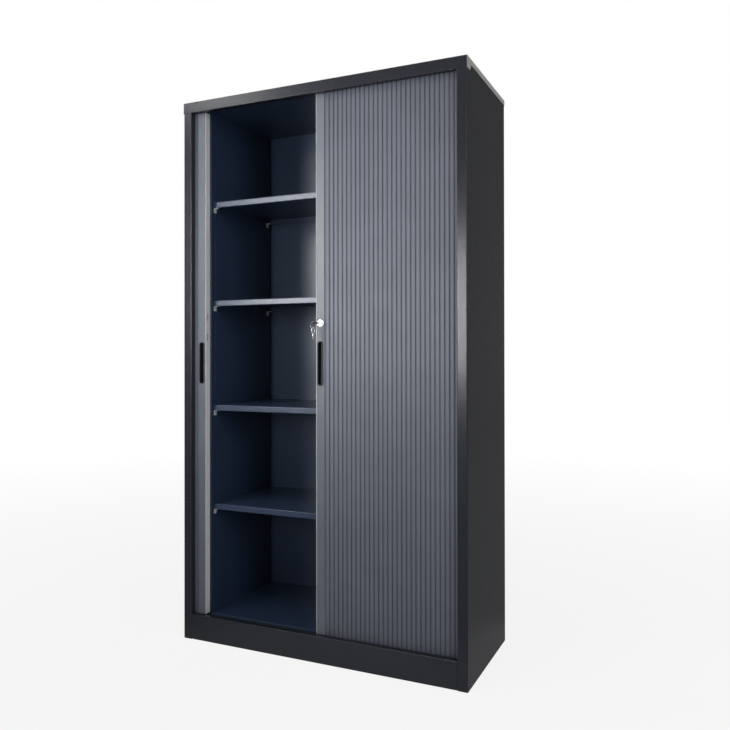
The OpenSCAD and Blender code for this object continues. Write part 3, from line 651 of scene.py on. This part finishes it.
@dataclass(frozen=True)
class Plated:
    """Bright plate on metal, brushed or polished, with a faint tarnish."""

    name: str
    colour: Shade
    gloss: float
    brushed: float
    metallic: float

    def make(self) -> bpy.types.Material:
        """Makes the material."""
        sketch = Sketch(self.name)
        cloud = sketch.ranged(sketch.noise(120, 3), 0, 1)
        lines = sketch.noise(2200, 2, 0.5, sketch.stretched(1, 1, 0.08))
        sketch.set(Base_Color=sketch.mottled(cloud, self.colour, 0.86, 1),
                   Roughness=sketch.ranged(lines, self.gloss - 0.05, self.gloss + 0.1),
                   Normal=sketch.bump(lines, self.brushed, 0.05 * MM), Metallic=self.metallic)
        return sketch.material


FINISHES = (
    # outer_paint carries a painted highlight (a masked sheen) on the top cap's side flanges.
    PowderCoat("outer_paint", (41, 43, 51), gloss=0.22, peel=0.12, rim_x=0.4994),
    # inner_paint is the same paint as outer_paint; its bluer, lighter colour is painted shade
    # tint for the interior.
    PowderCoat("inner_paint", (45, 59, 84), gloss=0.32, peel=0.16, specular=0.72),
    PowderCoat("bar_paint", (98, 103, 113), gloss=0.38, peel=0.06),
    # The slats get painted shade in their grooves from ambient occlusion.
    Extrusion("slat_plastic", (105, 110, 122), gloss=0.52, hollow=6 * MM),
    Extrusion("edge_strip", (226, 228, 227), gloss=0.34, lip=(255, 255, 254)),
    Extrusion("track_plastic", (34, 36, 41), gloss=0.5),
    Moulded("pull_plastic", (28, 31, 41), gloss=0.42),
    Moulded("glider_plastic", (36, 37, 40), gloss=0.5),
    Moulded("key_plastic", (24, 24, 27), gloss=0.35),
    Moulded("foot_plastic", (28, 28, 30), gloss=0.55),
    Moulded("stop_rubber", (22, 22, 22), gloss=0.8, grain=0.3),
    Plated("zinc", (232, 234, 236), gloss=0.36, brushed=0.12, metallic=0.3),
    Plated("chrome", (224, 225, 228), gloss=0.24, brushed=0.03, metallic=0.75),
)


class Wardrobe:
    """Makes each finish once and puts it on pieces."""

    def __init__(self, finishes: Iterable[PowderCoat | Extrusion | Moulded | Plated]) -> None:
        """Makes the material of each finish, under the finish's name."""
        self.made = {finish.name: finish.make() for finish in finishes}

    def dress(self, piece: Piece, slot: str) -> Piece:
        """Puts a finish on a piece in place of what it has.

        Args:
            piece: A new piece or a carried-over node.
            slot: The record's slot of the finish.

        Returns:
            The same piece.
        """
        if not piece.material_slots:
            piece.data.materials.append(self.made[slot])
        for holder in piece.material_slots:
            holder.material = self.made[slot]
        return piece


# Curtains


@dataclass(frozen=True)
class TrackLine:
    """The line of the slats' hinges seen from above, for the right-hand side."""

    hinge_y: float = -0.199
    side_x: float = 0.489
    rear_y: float = 0.214
    corner: float = 0.02

    @property
    def front_run(self) -> float:
        """The half length of the straight front run."""
        return self.side_x - self.corner

    def at(self, along: float) -> Vector:
        """The place at a distance along the line from the middle of the front.

        Args:
            along: The distance.

        Returns:
            X and Y of the place.
        """
        quarter = math.pi * self.corner / 2
        side_run = (self.rear_y - self.corner) - (self.hinge_y + self.corner)
        if along <= self.front_run:
            return Vector((along, self.hinge_y))
        along -= self.front_run
        if along <= quarter:
            turn = along / self.corner
            return Vector((self.front_run + self.corner * math.sin(turn),
                           self.hinge_y + self.corner * (1 - math.cos(turn))))
        along -= quarter
        if along <= side_run:
            return Vector((self.side_x, self.hinge_y + self.corner + along))
        along -= side_run
        if along <= quarter:
            turn = along / self.corner
            return Vector((self.side_x - self.corner * (1 - math.cos(turn)),
                           self.rear_y - self.corner * (1 - math.sin(turn))))
        return Vector((self.front_run - (along - quarter), self.rear_y))


@dataclass
class Curtains:
    """The slatted curtains of both doors, with the slat that is hinged to each lead bar."""

    wardrobe: Wardrobe
    line: TrackLine = TrackLine()
    pitch: float = 15.1 * MM
    groove: float = 3.8 * MM
    face: float = 5 * MM
    crown: float = 0.45 * MM
    body: float = 2.6 * MM
    corner: float = 0.9 * MM
    knuckle: float = 2.8 * MM
    web: float = 0.6 * MM
    rib: tuple[float, float] = (0.6 * MM, 1.8 * MM)
    overlap: float = 0.1 * MM
    first_hinge: float = 33.3 * MM
    travel: float = 423.2 * MM
    count: int = 31
    stack: float = 9 * MM
    stack_air: float = 0.15 * MM
    drawn_gap: float = 4.2 * MM

    def slat(self, side: Side) -> Piece:
        """Models one slat at the origin: its hinge lies on the Z axis, its face looks to -Y.

        Args:
            side: The side of the cabinet. A slat of the left-hand side is turned over.

        Returns:
            The slat, with its crowned face, its web and the knuckle at its far edge.
        """
        low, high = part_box("right_tambour")
        left = self.groove / 2
        right = self.pitch - self.groove / 2
        front = -self.face + self.crown
        back = front + self.body
        face = add_block("slat", (left, front, low.z), (right, back, high.z))
        pick(face, "EDGE", lambda v: near(v.y, front) and (near(v.x, left) or near(v.x, right)))
        round_selected(self.corner, 3)
        pick(face, "EDGE", lambda v: near(v.y, front))
        keep_edges(face, lambda a, b: near(a.z, b.z))
        bpy.ops.mesh.subdivide(number_cuts=5)
        self._raise_crown(face, left + self.corner, right - self.corner, front)
        leave_edit()
        web_end = self.pitch - self.knuckle
        parts = [face, add_block("web", (0, -self.web, low.z), (web_end, self.web, high.z))]
        for start, end in ((self.knuckle + self.rib[0], self.knuckle + self.rib[1]),
                           (web_end - self.rib[1], web_end)):
            parts.append(add_block("rib", (start, back - self.overlap, low.z), (end, 0, high.z)))
        parts.append(add_drum("knuckle", (self.pitch, 0, low.z), (self.pitch, 0, high.z),
                              self.knuckle, 20))
        piece = smooth(combined("slat", parts), 50)
        if side is Side.LEFT:
            piece.data.transform(Matrix.Scale(-1, 4, (1, 0, 0)))
            smooth(piece, 50)
        return piece

    def _raise_crown(self, face: Piece, left: float, right: float, front: float) -> None:
        """Moves the columns of the face forward to a shallow arch.

        Args:
            face: The slat, in edit mode.
            left: The left end of the arch.
            right: The right end of the arch.
            front: Where the flat face lies.
        """
        columns = sorted({round(v.co.x, 6) for v in bmesh.from_edit_mesh(face.data).verts
                          if near(v.co.y, front) and left < v.co.x < right})
        for x in columns:
            share = 1 - (2 * (x - left) / (right - left) - 1) ** 2
            pick(face, "VERT", lambda v, at=x: near(v.x, at) and near(v.y, front))
            bpy.ops.transform.translate(value=(0, -self.crown * share, 0))

    def hinges(self, start: float, count: int) -> list[float]:
        """Distances along the line of a chain of hinges that stand one pitch apart.

        Args:
            start: The first hinge.
            count: How many more follow.

        Returns:
            All the distances.
        """
        found = [start]
        for _ in range(count):
            here, guess = found[-1], found[-1] + self.pitch
            for _ in range(6):
                guess += self.pitch - (self.line.at(guess) - self.line.at(here)).length
            found.append(guess)
        return found

    def places(self, start: float, first: int, side: Side) -> list[Matrix]:
        """The places of the slats of one curtain.

        Args:
            start: The hinge of its slat 0 along the line.
            first: The first slat that is wanted.
            side: The side of the cabinet.

        Returns:
            One matrix for each slat.
        """
        chain = self.hinges(start, self.count)
        found = []
        for here, there in zip(chain[first:], chain[first + 1:]):
            a, b = self.line.at(here), self.line.at(there)
            turn = math.atan2(b.y - a.y, b.x - a.x) * side.value
            found.append(Matrix.Translation((a.x * side.value, a.y, 0))
                         @ Matrix.Rotation(turn, 4, "Z"))
        return found

    def right(self) -> Piece:
        """The closed right curtain, fixed to the carcass here; the real one gathers behind the
        right stile as its door opens.
        """
        piece = copies("right_curtain", self.slat(Side.RIGHT),
                       self.places(self.first_hinge, 1, Side.RIGHT))
        self.wardrobe.dress(piece, "slat_plastic")
        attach(piece, "carcass")
        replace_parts(piece, "right_tambour")
        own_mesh(piece)
        return piece

    def left_stored(self) -> Piece:
        """The open left curtain in the side wall, fixed to the carcass here; the real one leaves
        the wall as its door closes.
        """
        piece = copies("left_stored_curtain", self.slat(Side.LEFT),
                       self.places(self.first_hinge + self.travel, 1, Side.LEFT))
        self.wardrobe.dress(piece, "slat_plastic")
        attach(piece, "carcass")
        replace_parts(piece, "left_tambour")
        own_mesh(piece)
        return piece

    def left_drawn(self) -> Piece:
        """The run of the left curtain that the closing door draws out from behind the stile.

        At rest it waits in a narrow stack behind the stile. Each point waits where a move by the
        share w of the travel would bring it to its place.

        Returns:
            The piece.
        """
        near_x = -(self.first_hinge + self.pitch)
        slats = self.places(self.first_hinge, 1, Side.LEFT)
        straight = [m for m in slats if -m.translation.x + self.pitch < self.line.front_run]
        piece = copies("left_drawn_curtain", self.slat(Side.LEFT), straight)
        far_x = min(v.co.x for v in piece.data.vertices)
        rest_end = near_x - self.travel - self.drawn_gap
        rest_start = rest_end - (near_x - far_x - self.travel)
        self._gather(piece, rest_start, rest_end)
        self.wardrobe.dress(piece, "slat_plastic")
        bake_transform(piece)
        return piece

    def _gather(self, piece: Piece, rest_start: float, rest_end: float) -> None:
        """Moves each point of the drawn-out curtain to where it waits at rest.

        Args:
            piece: The curtain, drawn out.
            rest_start: The far end of the stack.
            rest_end: The end of the stack beside the lead bar.
        """
        span = rest_end - rest_start
        for vertex in piece.data.vertices:
            low, high = 0.0, 1.0
            goal = vertex.co.x
            for _ in range(40):
                t = (low + high) / 2
                w = t * t * (3 - 2 * t)
                if rest_start + t * span + w * self.travel < goal:
                    low = t
                else:
                    high = t
            vertex.co.x = rest_start + (low + high) / 2 * span

    def lead_slat(self, side: Side) -> Piece:
        """The slat that is hinged to a lead bar and rides with it.

        Args:
            side: The door's side.

        Returns:
            The piece.
        """
        node = f"{side.word}_lead_slat"
        start = self.first_hinge + (self.travel if side is Side.LEFT else 0)
        place = Matrix.Translation((start * side.value, self.line.hinge_y, 0))
        piece = copies(f"{node}_dressed", self.slat(side), [place])
        self.wardrobe.dress(piece, "slat_plastic")
        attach(piece, f"{side.word}_door")
        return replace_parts(piece, node)

    def build(self) -> list[Piece]:
        """Makes every piece of the two curtains."""
        return [self.right(), self.left_stored(), self.left_drawn(),
                self.lead_slat(Side.RIGHT), self.lead_slat(Side.LEFT)]


# Fittings of the doors


@dataclass
class DoorFittings:
    """The finger-pull cups and the edge strips of both lead bars."""

    wardrobe: Wardrobe
    rim: float = 1.4 * MM
    wall: float = 1.3 * MM
    rim_depth: float = 0.8 * MM
    floor_radius: float = 3.5 * MM
    groove: float = 1 * MM
    groove_depth: float = 0.4 * MM
    groove_y: float = -0.1877
    slot_width: float = 5 * MM
    slot_y: float = -0.1915
    slots: tuple[tuple[float, float], ...] = ((1.085, 1.1077), (1.016, 1.0387))

    def pull_cup(self, side: Side) -> Piece:
        """A moulded cup with a rounded lip and a hollow whose floor is filleted.

        Args:
            side: The door's side.

        Returns:
            The cup.
        """
        node = f"{side.word}_pull_cup"
        low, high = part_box(node)
        centre = ((low.x + high.x) / 2, (low.z + high.z) / 2)
        width, height = high.x - low.x, high.z - low.z
        face = low.y + self.rim_depth
        rim = add_stadium(f"{node}_dressed", centre, width, height, low.y, face)
        body = add_stadium("body", centre, width - 2 * self.rim, height - 2 * self.rim,
                           low.y + self.rim_depth / 2, high.y)
        cup = cut(rim, body, "UNION")
        inset = 2 * (self.rim + self.wall)
        floor_y = high.y - self.wall
        hollow = add_stadium("hollow", centre, width - inset, height - inset,
                             low.y - self.wall, floor_y)
        pick(hollow, "EDGE", lambda v: near(v.y, floor_y))
        round_selected(self.floor_radius, 4)
        cup = smooth(bevelled(cut(cup, hollow), 0.3 * MM, 3), 40)
        self.wardrobe.dress(cup, "pull_plastic")
        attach(cup, f"{side.word}_door")
        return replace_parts(cup, node)

    def edge_strip(self, side: Side) -> Piece:
        """The strip at the meeting edge, with a grooved lip and the slots for the hook bolts.

        Args:
            side: The door's side.

        Returns:
            The strip.
        """
        node = f"{side.word}_edge_strip"
        low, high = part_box(node)
        strip = bevelled(add_block(f"{node}_dressed", low, high), 0.45 * MM, 3)
        deep = Vector((self.groove_depth, 0, self.groove_depth))
        meeting_x = low.x if side is Side.RIGHT else high.x
        half = Vector((0, self.groove / 2, 0))
        cut(strip, add_block("groove", Vector((meeting_x, self.groove_y, low.z)) - half - deep,
                             Vector((meeting_x, self.groove_y, high.z)) + half + deep))
        half = self.slot_width / 2
        for bottom, top in self.slots:
            cut(strip, add_block("slot", (low.x - deep.x, self.slot_y - half, bottom),
                                 (high.x + deep.x, self.slot_y + half, top)))
        self.wardrobe.dress(smooth(strip), "edge_strip")
        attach(strip, f"{side.word}_door")
        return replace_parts(strip, node)

    def build(self) -> list[Piece]:
        """Makes the fittings of both doors."""
        return [maker(side) for side in Side for maker in (self.pull_cup, self.edge_strip)]


# Lock and keys


@dataclass
class LockSet:
    """The lock's housing, the key in it, the split ring and the spare key."""

    wardrobe: Wardrobe
    face_y: float = -0.204
    rose_step: float = 1.5 * MM
    rose_rim: float = 1.2 * MM
    plug_bore: float = 7.05 * MM
    barrel: float = 9.4 * MM
    bow: float = 12 * MM
    bow_hole: float = 7.5 * MM
    blade: float = 7 * MM
    thick: float = 2 * MM
    shoulder: float = 9 * MM
    wrap: float = 0.6 * MM
    flatness: float = 0.9
    ridge_half: float = 0.35 * MM
    ridge_height: float = 0.3 * MM
    neck: float = 3 * MM
    taper: float = 2 * MM
    notches: tuple[tuple[float, float], ...] = ((0.25, 0.98 * MM), (0.5, 0.7 * MM),
                                                (0.75, 0.98 * MM))
    keyway: tuple[float, float] = (0.35 * MM, 0.6 * MM)
    moulding_end: float = -0.2165
    plug_face: float = -0.2074
    blade_tip: float = -0.1954

    @property
    def centre(self) -> Vector:
        """The middle of the lock, on the face of the bar."""
        low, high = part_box("lock_housing")
        return Vector(((low.x + high.x) / 2, self.face_y, (low.z + high.z) / 2))

    def housing(self) -> Piece:
        """The rose with its raised rim and the barrel behind it, bored for the plug."""
        low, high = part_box("lock_housing")
        at = self.centre
        rose = (high.x - low.x) / 2
        step = low.y + self.rose_step

        def drum(name: str, y_from: float, y_to: float, radius: float) -> Piece:
            """Adds a cylinder on the lock's axis."""
            return add_drum(name, (at.x, y_from, at.z), (at.x, y_to, at.z), radius, 72)

        piece = drum("lock_housing_dressed", step, self.face_y, rose)
        cut(piece, drum("rim", low.y, step + 0.2 * MM, rose - self.rose_rim), "UNION")
        cut(piece, drum("barrel", step, high.y, self.barrel), "UNION")
        cut(piece, drum("bore", low.y - PAST, high.y + PAST, self.plug_bore))
        smooth(bevelled(piece, 0.4 * MM, 3), 30)
        self.wardrobe.dress(piece, "chrome")
        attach(piece, "right_door")
        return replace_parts(piece, "lock_housing")

    def moulded_bow(self) -> Piece:
        """The plastic bow of the key in the lock, with grip ridges across its neck."""
        low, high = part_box("key")
        at = self.centre
        rim = (self.bow - self.bow_hole) / 2
        bow_y = low.y + self.bow
        parts = [add_hoop("key_dressed", (at.x, bow_y, at.z), self.bow - rim, rim, (0, 0, 1))]
        start = bow_y + self.bow_hole + self.wrap
        half = self.shoulder / 2 + self.wrap
        thick = rim * self.flatness
        neck = add_beam("neck", at, half, start, self.moulding_end, thick)
        parts.append(bevelled(neck, 1 * MM, 4))
        for share in (0.3, 0.5, 0.7):
            y = start + (self.moulding_end - start) * share
            ridge = add_beam("ridge", at, half - 1 * MM, y - self.ridge_half, y + self.ridge_half,
                             thick + self.ridge_height)
            parts.append(bevelled(ridge, 0.2 * MM, 2))
        piece = smooth(combined("key_dressed", parts), 40)
        self.wardrobe.dress(piece, "key_plastic")
        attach(piece, "lock_cylinder")
        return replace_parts(piece, "key")

    def blade_of_key(self) -> Piece:
        """The metal blade between the moulded bow and the plug, and on into the keyway."""
        at = self.centre
        half = self.thick / 2
        neck = add_beam("key_blade", at, self.shoulder / 2, self.moulding_end - PAST,
                        self.plug_face - 0.4 * MM, half)
        blade = add_beam("blade", at, self.blade / 2, self.plug_face - PAST, self.blade_tip, half)
        piece = smooth(bevelled(cut(neck, blade, "UNION"), 0.25 * MM, 2), 30)
        self.wardrobe.dress(piece, "chrome")
        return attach(piece, "lock_cylinder")

    def split_ring(self) -> Piece:
        """The ring of two coils that lie against each other."""
        low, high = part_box("key_ring")
        centre = (low + high) / 2
        wire = (high.y - low.y) / 4
        radius = (high.x - low.x) / 2 - 2 * wire
        coils = [add_hoop("coil", centre + Vector((0, side * wire, 0)), radius, wire, (0, 1, 0))
                 for side in (-1, 1)]
        piece = smooth(combined("key_ring_dressed", coils), 60)
        self.wardrobe.dress(piece, "chrome")
        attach(piece, "ring")
        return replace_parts(piece, "key_ring")

    def spare(self) -> Piece:
        """The plain metal spare key, which hangs edge on to the front."""
        low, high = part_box("spare_key")
        y, z = (low.y + high.y) / 2, high.z - self.bow

        def across(name: str, y_at: float, z_at: float, past: float, radius: float,
                   sides: int) -> Piece:
            """Adds a cylinder through the key, along X."""
            return add_drum(name, (low.x - past, y_at, z_at), (high.x + past, y_at, z_at), radius,
                            sides)

        piece = across("spare_key_dressed", y, z, 0, self.bow, 64)
        neck_end = z - self.bow - self.neck
        half = self.shoulder / 2
        cut(piece, add_block("neck", (low.x, y - half, neck_end), (high.x, y + half, z)), "UNION")
        half = self.blade / 2
        blade = add_block("blade", (low.x, y - half, low.z), (high.x, y + half, neck_end + PAST))
        pick(blade, "EDGE", lambda v: near(v.z, low.z))
        keep_edges(blade, lambda a, b: not near(a.x, b.x))
        round_selected(self.taper, 3)
        cut(piece, blade, "UNION")
        cut(piece, across("hole", y, z, PAST, self.bow_hole, 64))
        for share, size in self.notches:
            cut(piece, across("notch", y + half, neck_end + (low.z - neck_end) * share, PAST,
                              size, 4))
        deep, half = self.keyway
        for side in (low.x, high.x):
            cut(piece, add_block("keyway_groove", (side - deep, y - half, low.z - PAST),
                                 (side + deep, y + half, neck_end + PAST)))
        smooth(bevelled(piece, 0.2 * MM, 2), 30)
        self.wardrobe.dress(piece, "chrome")
        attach(piece, "spare")
        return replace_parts(piece, "spare_key")

    def build(self) -> list[Piece]:
        """Makes the lock's pieces."""
        return [self.housing(), self.moulded_bow(), self.blade_of_key(), self.split_ring(),
                self.spare()]


# Hardware


@dataclass
class Hardware:
    """The cross-recessed screws of the back panel and the levelling feet."""

    wardrobe: Wardrobe
    head: float = 4 * MM
    head_height: float = 2 * MM
    shank: float = 1.75 * MM
    dome: float = 1.3 * MM
    recess: tuple[float, float] = (2.2 * MM, 0.45 * MM)
    recess_depth: float = 1.1 * MM
    rows: int = 5
    disc: float = 15 * MM
    disc_height: float = 6 * MM
    grips: int = 24
    grip: float = 0.9 * MM
    grip_inset: float = 1.2 * MM
    stud: float = 4 * MM
    core: float = 3.3 * MM
    thread_half: float = 0.4 * MM
    thread_pitch: float = 1.25 * MM

    def screws(self) -> Piece:
        """The ten pan-head screws, in two columns."""
        low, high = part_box("back_panel_screws")
        face = high.y - self.head_height
        head = add_drum("head", (0, face, 0), (0, high.y, 0), self.head, 40)
        pick(head, "EDGE", lambda v: near(v.y, high.y))
        round_selected(self.dome, 4)
        for half_x, half_z in (self.recess, self.recess[::-1]):
            cut(head, add_beam("recess", Vector(), half_x, high.y - self.recess_depth,
                               high.y + PAST, half_z))
        shank = add_drum("shank", (0, low.y, 0), (0, face + 0.1 * MM, 0), self.shank, 24)
        cut(head, shank, "UNION")
        first, last = low.z + self.head, high.z - self.head
        step = (last - first) / (self.rows - 1)
        places = [Matrix.Translation((x, 0, first + i * step))
                  for x in (low.x + self.head, high.x - self.head) for i in range(self.rows)]
        piece = smooth(copies("back_screws_dressed", head, places), 35)
        self.wardrobe.dress(piece, "zinc")
        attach(piece, "carcass")
        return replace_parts(piece, "back_panel_screws")

    def foot(self, end: str, side: Side) -> Piece:
        """One levelling foot: a ribbed disc on a threaded stud.

        Args:
            end: front or rear.
            side: The side of the cabinet.

        Returns:
            The foot.
        """
        node = f"{end}_{side.word}_foot"
        low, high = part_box(node)
        x, y = (low.x + high.x) / 2, (low.y + high.y) / 2
        disc_top = low.z + self.disc_height

        def drum(name: str, z_from: float, z_to: float, radius: float, sides: int = 24,
                 at: tuple[float, float] = (x, y)) -> Piece:
            """Adds an upright cylinder, on the foot's axis unless told otherwise."""
            return add_drum(name, (*at, z_from), (*at, z_to), radius, sides)

        parts = [bevelled(drum(f"{node}_dressed", low.z, disc_top, self.disc - 0.5 * MM, 48),
                          1 * MM, 3)]
        ring = self.disc - self.grip
        for i in range(self.grips):
            turn = math.tau * i / self.grips
            parts.append(drum("grip", low.z + self.grip_inset, disc_top - self.grip_inset,
                              self.grip, 12,
                              (x + ring * math.cos(turn), y + ring * math.sin(turn))))
        parts.append(drum("core", disc_top - 0.5 * MM, high.z, self.core))
        for i in range(int((high.z - disc_top) / self.thread_pitch)):
            z = disc_top + (i + 0.5) * self.thread_pitch
            thread = drum("thread", z - self.thread_half, z + self.thread_half, self.stud)
            parts.append(bevelled(thread, 0.38 * MM, 1))
        piece = smooth(combined(f"{node}_dressed", parts), 35)
        self.wardrobe.dress(piece, "foot_plastic")
        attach(piece, f"foot_{end}_{side.word}")
        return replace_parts(piece, node)

    def build(self) -> list[Piece]:
        """Makes the screws and the four feet."""
        return [self.screws()] + [self.foot(end, side) for end in ("front", "rear")
                                  for side in Side]


# Studio


@dataclass(frozen=True)
class Lamp:
    """A soft box: its place, aim, size, power, spread in degrees and share of matt light."""

    name: str
    place: tuple[float, float, float]
    aim: tuple[float, float, float]
    size: tuple[float, float]
    power: float
    spread: float
    matt_share: float = 1

    def hang(self) -> None:
        """Adds the lamp to the scene."""
        light = bpy.data.lights.new(self.name, "AREA")
        light.shape = "RECTANGLE"
        light.size, light.size_y = self.size
        light.energy = self.power
        light.spread = math.radians(self.spread)
        light.diffuse_factor = self.matt_share
        holder = bpy.data.objects.new(self.name, light)
        holder.location = self.place
        aim = Vector(self.aim) - Vector(self.place)
        holder.rotation_euler = aim.to_track_quat("-Z", "Y").to_euler()
        bpy.context.scene.collection.objects.link(holder)


@dataclass
class Studio:
    """The floor, the pale surroundings, the soft boxes and the camera."""

    lamps: tuple[Lamp, ...] = (
        Lamp("front_box", (-0.4, -2.7, 1.24), (-0.1, -0.2, 1.2), (0.32, 0.8), 2.6, 62),
        Lamp("key_box", (-1.3, -2.4, 1.57), (-0.05, -0.2, 1.35), (0.46, 1.1), 2.85, 50),
        Lamp("high_box", (-2.1, -2.6, 3.0), (-0.2, -0.2, 1.6), (0.6, 0.5), 1.9, 90),
        Lamp("fill_box", (2.9, -1.9, 1.8), (0.2, -0.1, 1.3), (1.2, 1.8), 12.5, 120),
        Lamp("ceiling_box", (-0.9, -1.9, 3.4), (0, -0.2, 0.6), (1.6, 0.7), 4, 90, 0),
    )
    eye: tuple[float, float, float] = (1.1166, -2.3484, 0.9706)
    yaw: float = 0.4457
    pitch: float = 0.0049
    roll: float = 0.0011
    focal_px: float = 761.94
    centre_px: tuple[float, float] = (342.16, 350.07)
    frame_px: float = 730
    ambient: float = 0.27
    room: float = 0.1
    backdrop: tuple[float, float] = (0.42, 0.6)
    floor_glow: float = 0.86
    glow_reach: tuple[float, float] = (0.8, 5)
    floor_dimming: tuple[float, float] = (0.1, 0.85)
    dimming_reach: tuple[float, float] = (0.45, 0.75)

    def surroundings(self) -> None:
        """Makes the world: white where it is seen, dimmer as a light.

        Mirrored rays see the white backdrop within the camera's field and the dimmer room
        elsewhere.
        """
        world = bpy.data.worlds.new("surroundings")
        graph = Graph(world)
        rays = graph.node("LightPath", {}).outputs
        inputs = {0: graph.node("TexCoord", {}).outputs["Generated"],
                  1: (-math.sin(self.yaw), math.cos(self.yaw), 0)}
        towards = graph.node("VectorMath", inputs, operation="DOT_PRODUCT").outputs["Value"]
        inner, outer = self.backdrop
        backdrop = graph.ranged(towards, self.room, 1, math.cos(outer), math.cos(inner))
        backdrop.node.interpolation_type = "SMOOTHSTEP"
        inputs = {"Factor": rays["Is Glossy Ray"], "A": self.ambient, "B": backdrop}
        strength = graph.node("Mix", inputs).outputs["Result"]
        for ray in ("Is Camera Ray", "Is Transmission Ray"):
            strength = graph.math("MAXIMUM", strength, rays[ray])
        graph.feed(graph.nodes["Background"], {"Color": (1, 1, 1, 1), "Strength": strength})
        bpy.context.scene.world = world

    def floor(self) -> None:
        """Adds the plain pale floor, which fades to white away from the cabinet.

        Mirrored rays see it as lit beside the cabinet and at the room's level further away.
        """
        deselect()
        bpy.ops.mesh.primitive_plane_add(size=60, location=(0, 0, 0))
        plane = named("floor")
        sketch = Sketch("floor_paint")
        speck = sketch.ranged(sketch.noise(3, 2), 0, 1)
        sketch.set(Base_Color=sketch.mixed(speck, (0.86, 0.86, 0.86), (0.88, 0.88, 0.88)),
                   Roughness=0.95, Specular_IOR_Level=0.1)
        away = sketch.node("VectorMath", {0: sketch.place}, operation="LENGTH").outputs["Value"]
        rays = sketch.node("LightPath", {}).outputs
        seen = sketch.math("MAXIMUM", rays["Is Camera Ray"], rays["Is Transmission Ray"])
        mirrored = rays["Is Glossy Ray"]
        glow = sketch.ranged(away, self.floor_glow, 1, *self.glow_reach)
        dimming = sketch.ranged(away, *self.floor_dimming, *self.dimming_reach)
        share = sketch.math("MAXIMUM", sketch.math("MULTIPLY", glow, seen),
                            sketch.math("MULTIPLY", mirrored, dimming))
        strength = sketch.math("MAXIMUM", seen, sketch.math("MULTIPLY", mirrored, self.room))
        white = sketch.node("Emission", {"Strength": strength}).outputs["Emission"]
        mix = sketch.node("MixShader", {"Fac": share, 1: sketch.shader.outputs["BSDF"], 2: white})
        sketch.feed(sketch.nodes["Material Output"], {"Surface": mix.outputs["Shader"]})
        plane.data.materials.append(sketch.material)

    def camera(self) -> None:
        """Adds the camera at the photograph's place, with its framing."""
        data = bpy.data.cameras.new("camera")
        data.sensor_width = 36
        data.lens = self.focal_px * data.sensor_width / self.frame_px
        data.shift_x = (self.frame_px / 2 - self.centre_px[0]) / self.frame_px
        data.shift_y = (self.centre_px[1] - self.frame_px / 2) / self.frame_px
        data.clip_end = 100
        camera = bpy.data.objects.new("camera", data)
        camera.matrix_world = (Matrix.Translation(self.eye)
                               @ Matrix.Rotation(self.yaw, 4, "Z")
                               @ Matrix.Rotation(math.pi / 2 + self.pitch, 4, "X")
                               @ Matrix.Rotation(-self.roll, 4, "Z"))
        bpy.context.scene.collection.objects.link(camera)
        bpy.context.scene.camera = camera

    def build(self) -> None:
        """Sets up the whole studio."""
        bpy.context.scene.view_settings.view_transform = "Standard"
        self.surroundings()
        self.floor()
        self.camera()
        for lamp in self.lamps:
            lamp.hang()


def dress_nodes(wardrobe: Wardrobe) -> None:
    """Gives every carried-over node the finish of its slot."""
    for part in frame["record"]["subparts"]:
        wardrobe.dress(frame["nodes"][part["node"]], part["material_slot"])


def main() -> None:
    """Builds the cabinet's looks in order and reports each piece."""
    wardrobe = Wardrobe(FINISHES)
    dress_nodes(wardrobe)
    makers = (Curtains(wardrobe), DoorFittings(wardrobe), LockSet(wardrobe), Hardware(wardrobe))
    for maker in makers:
        for piece in maker.build():
            log.info("%s: %d faces", piece.name, len(piece.data.polygons))
    Studio().build()


if __name__ == "__main__":
    main()
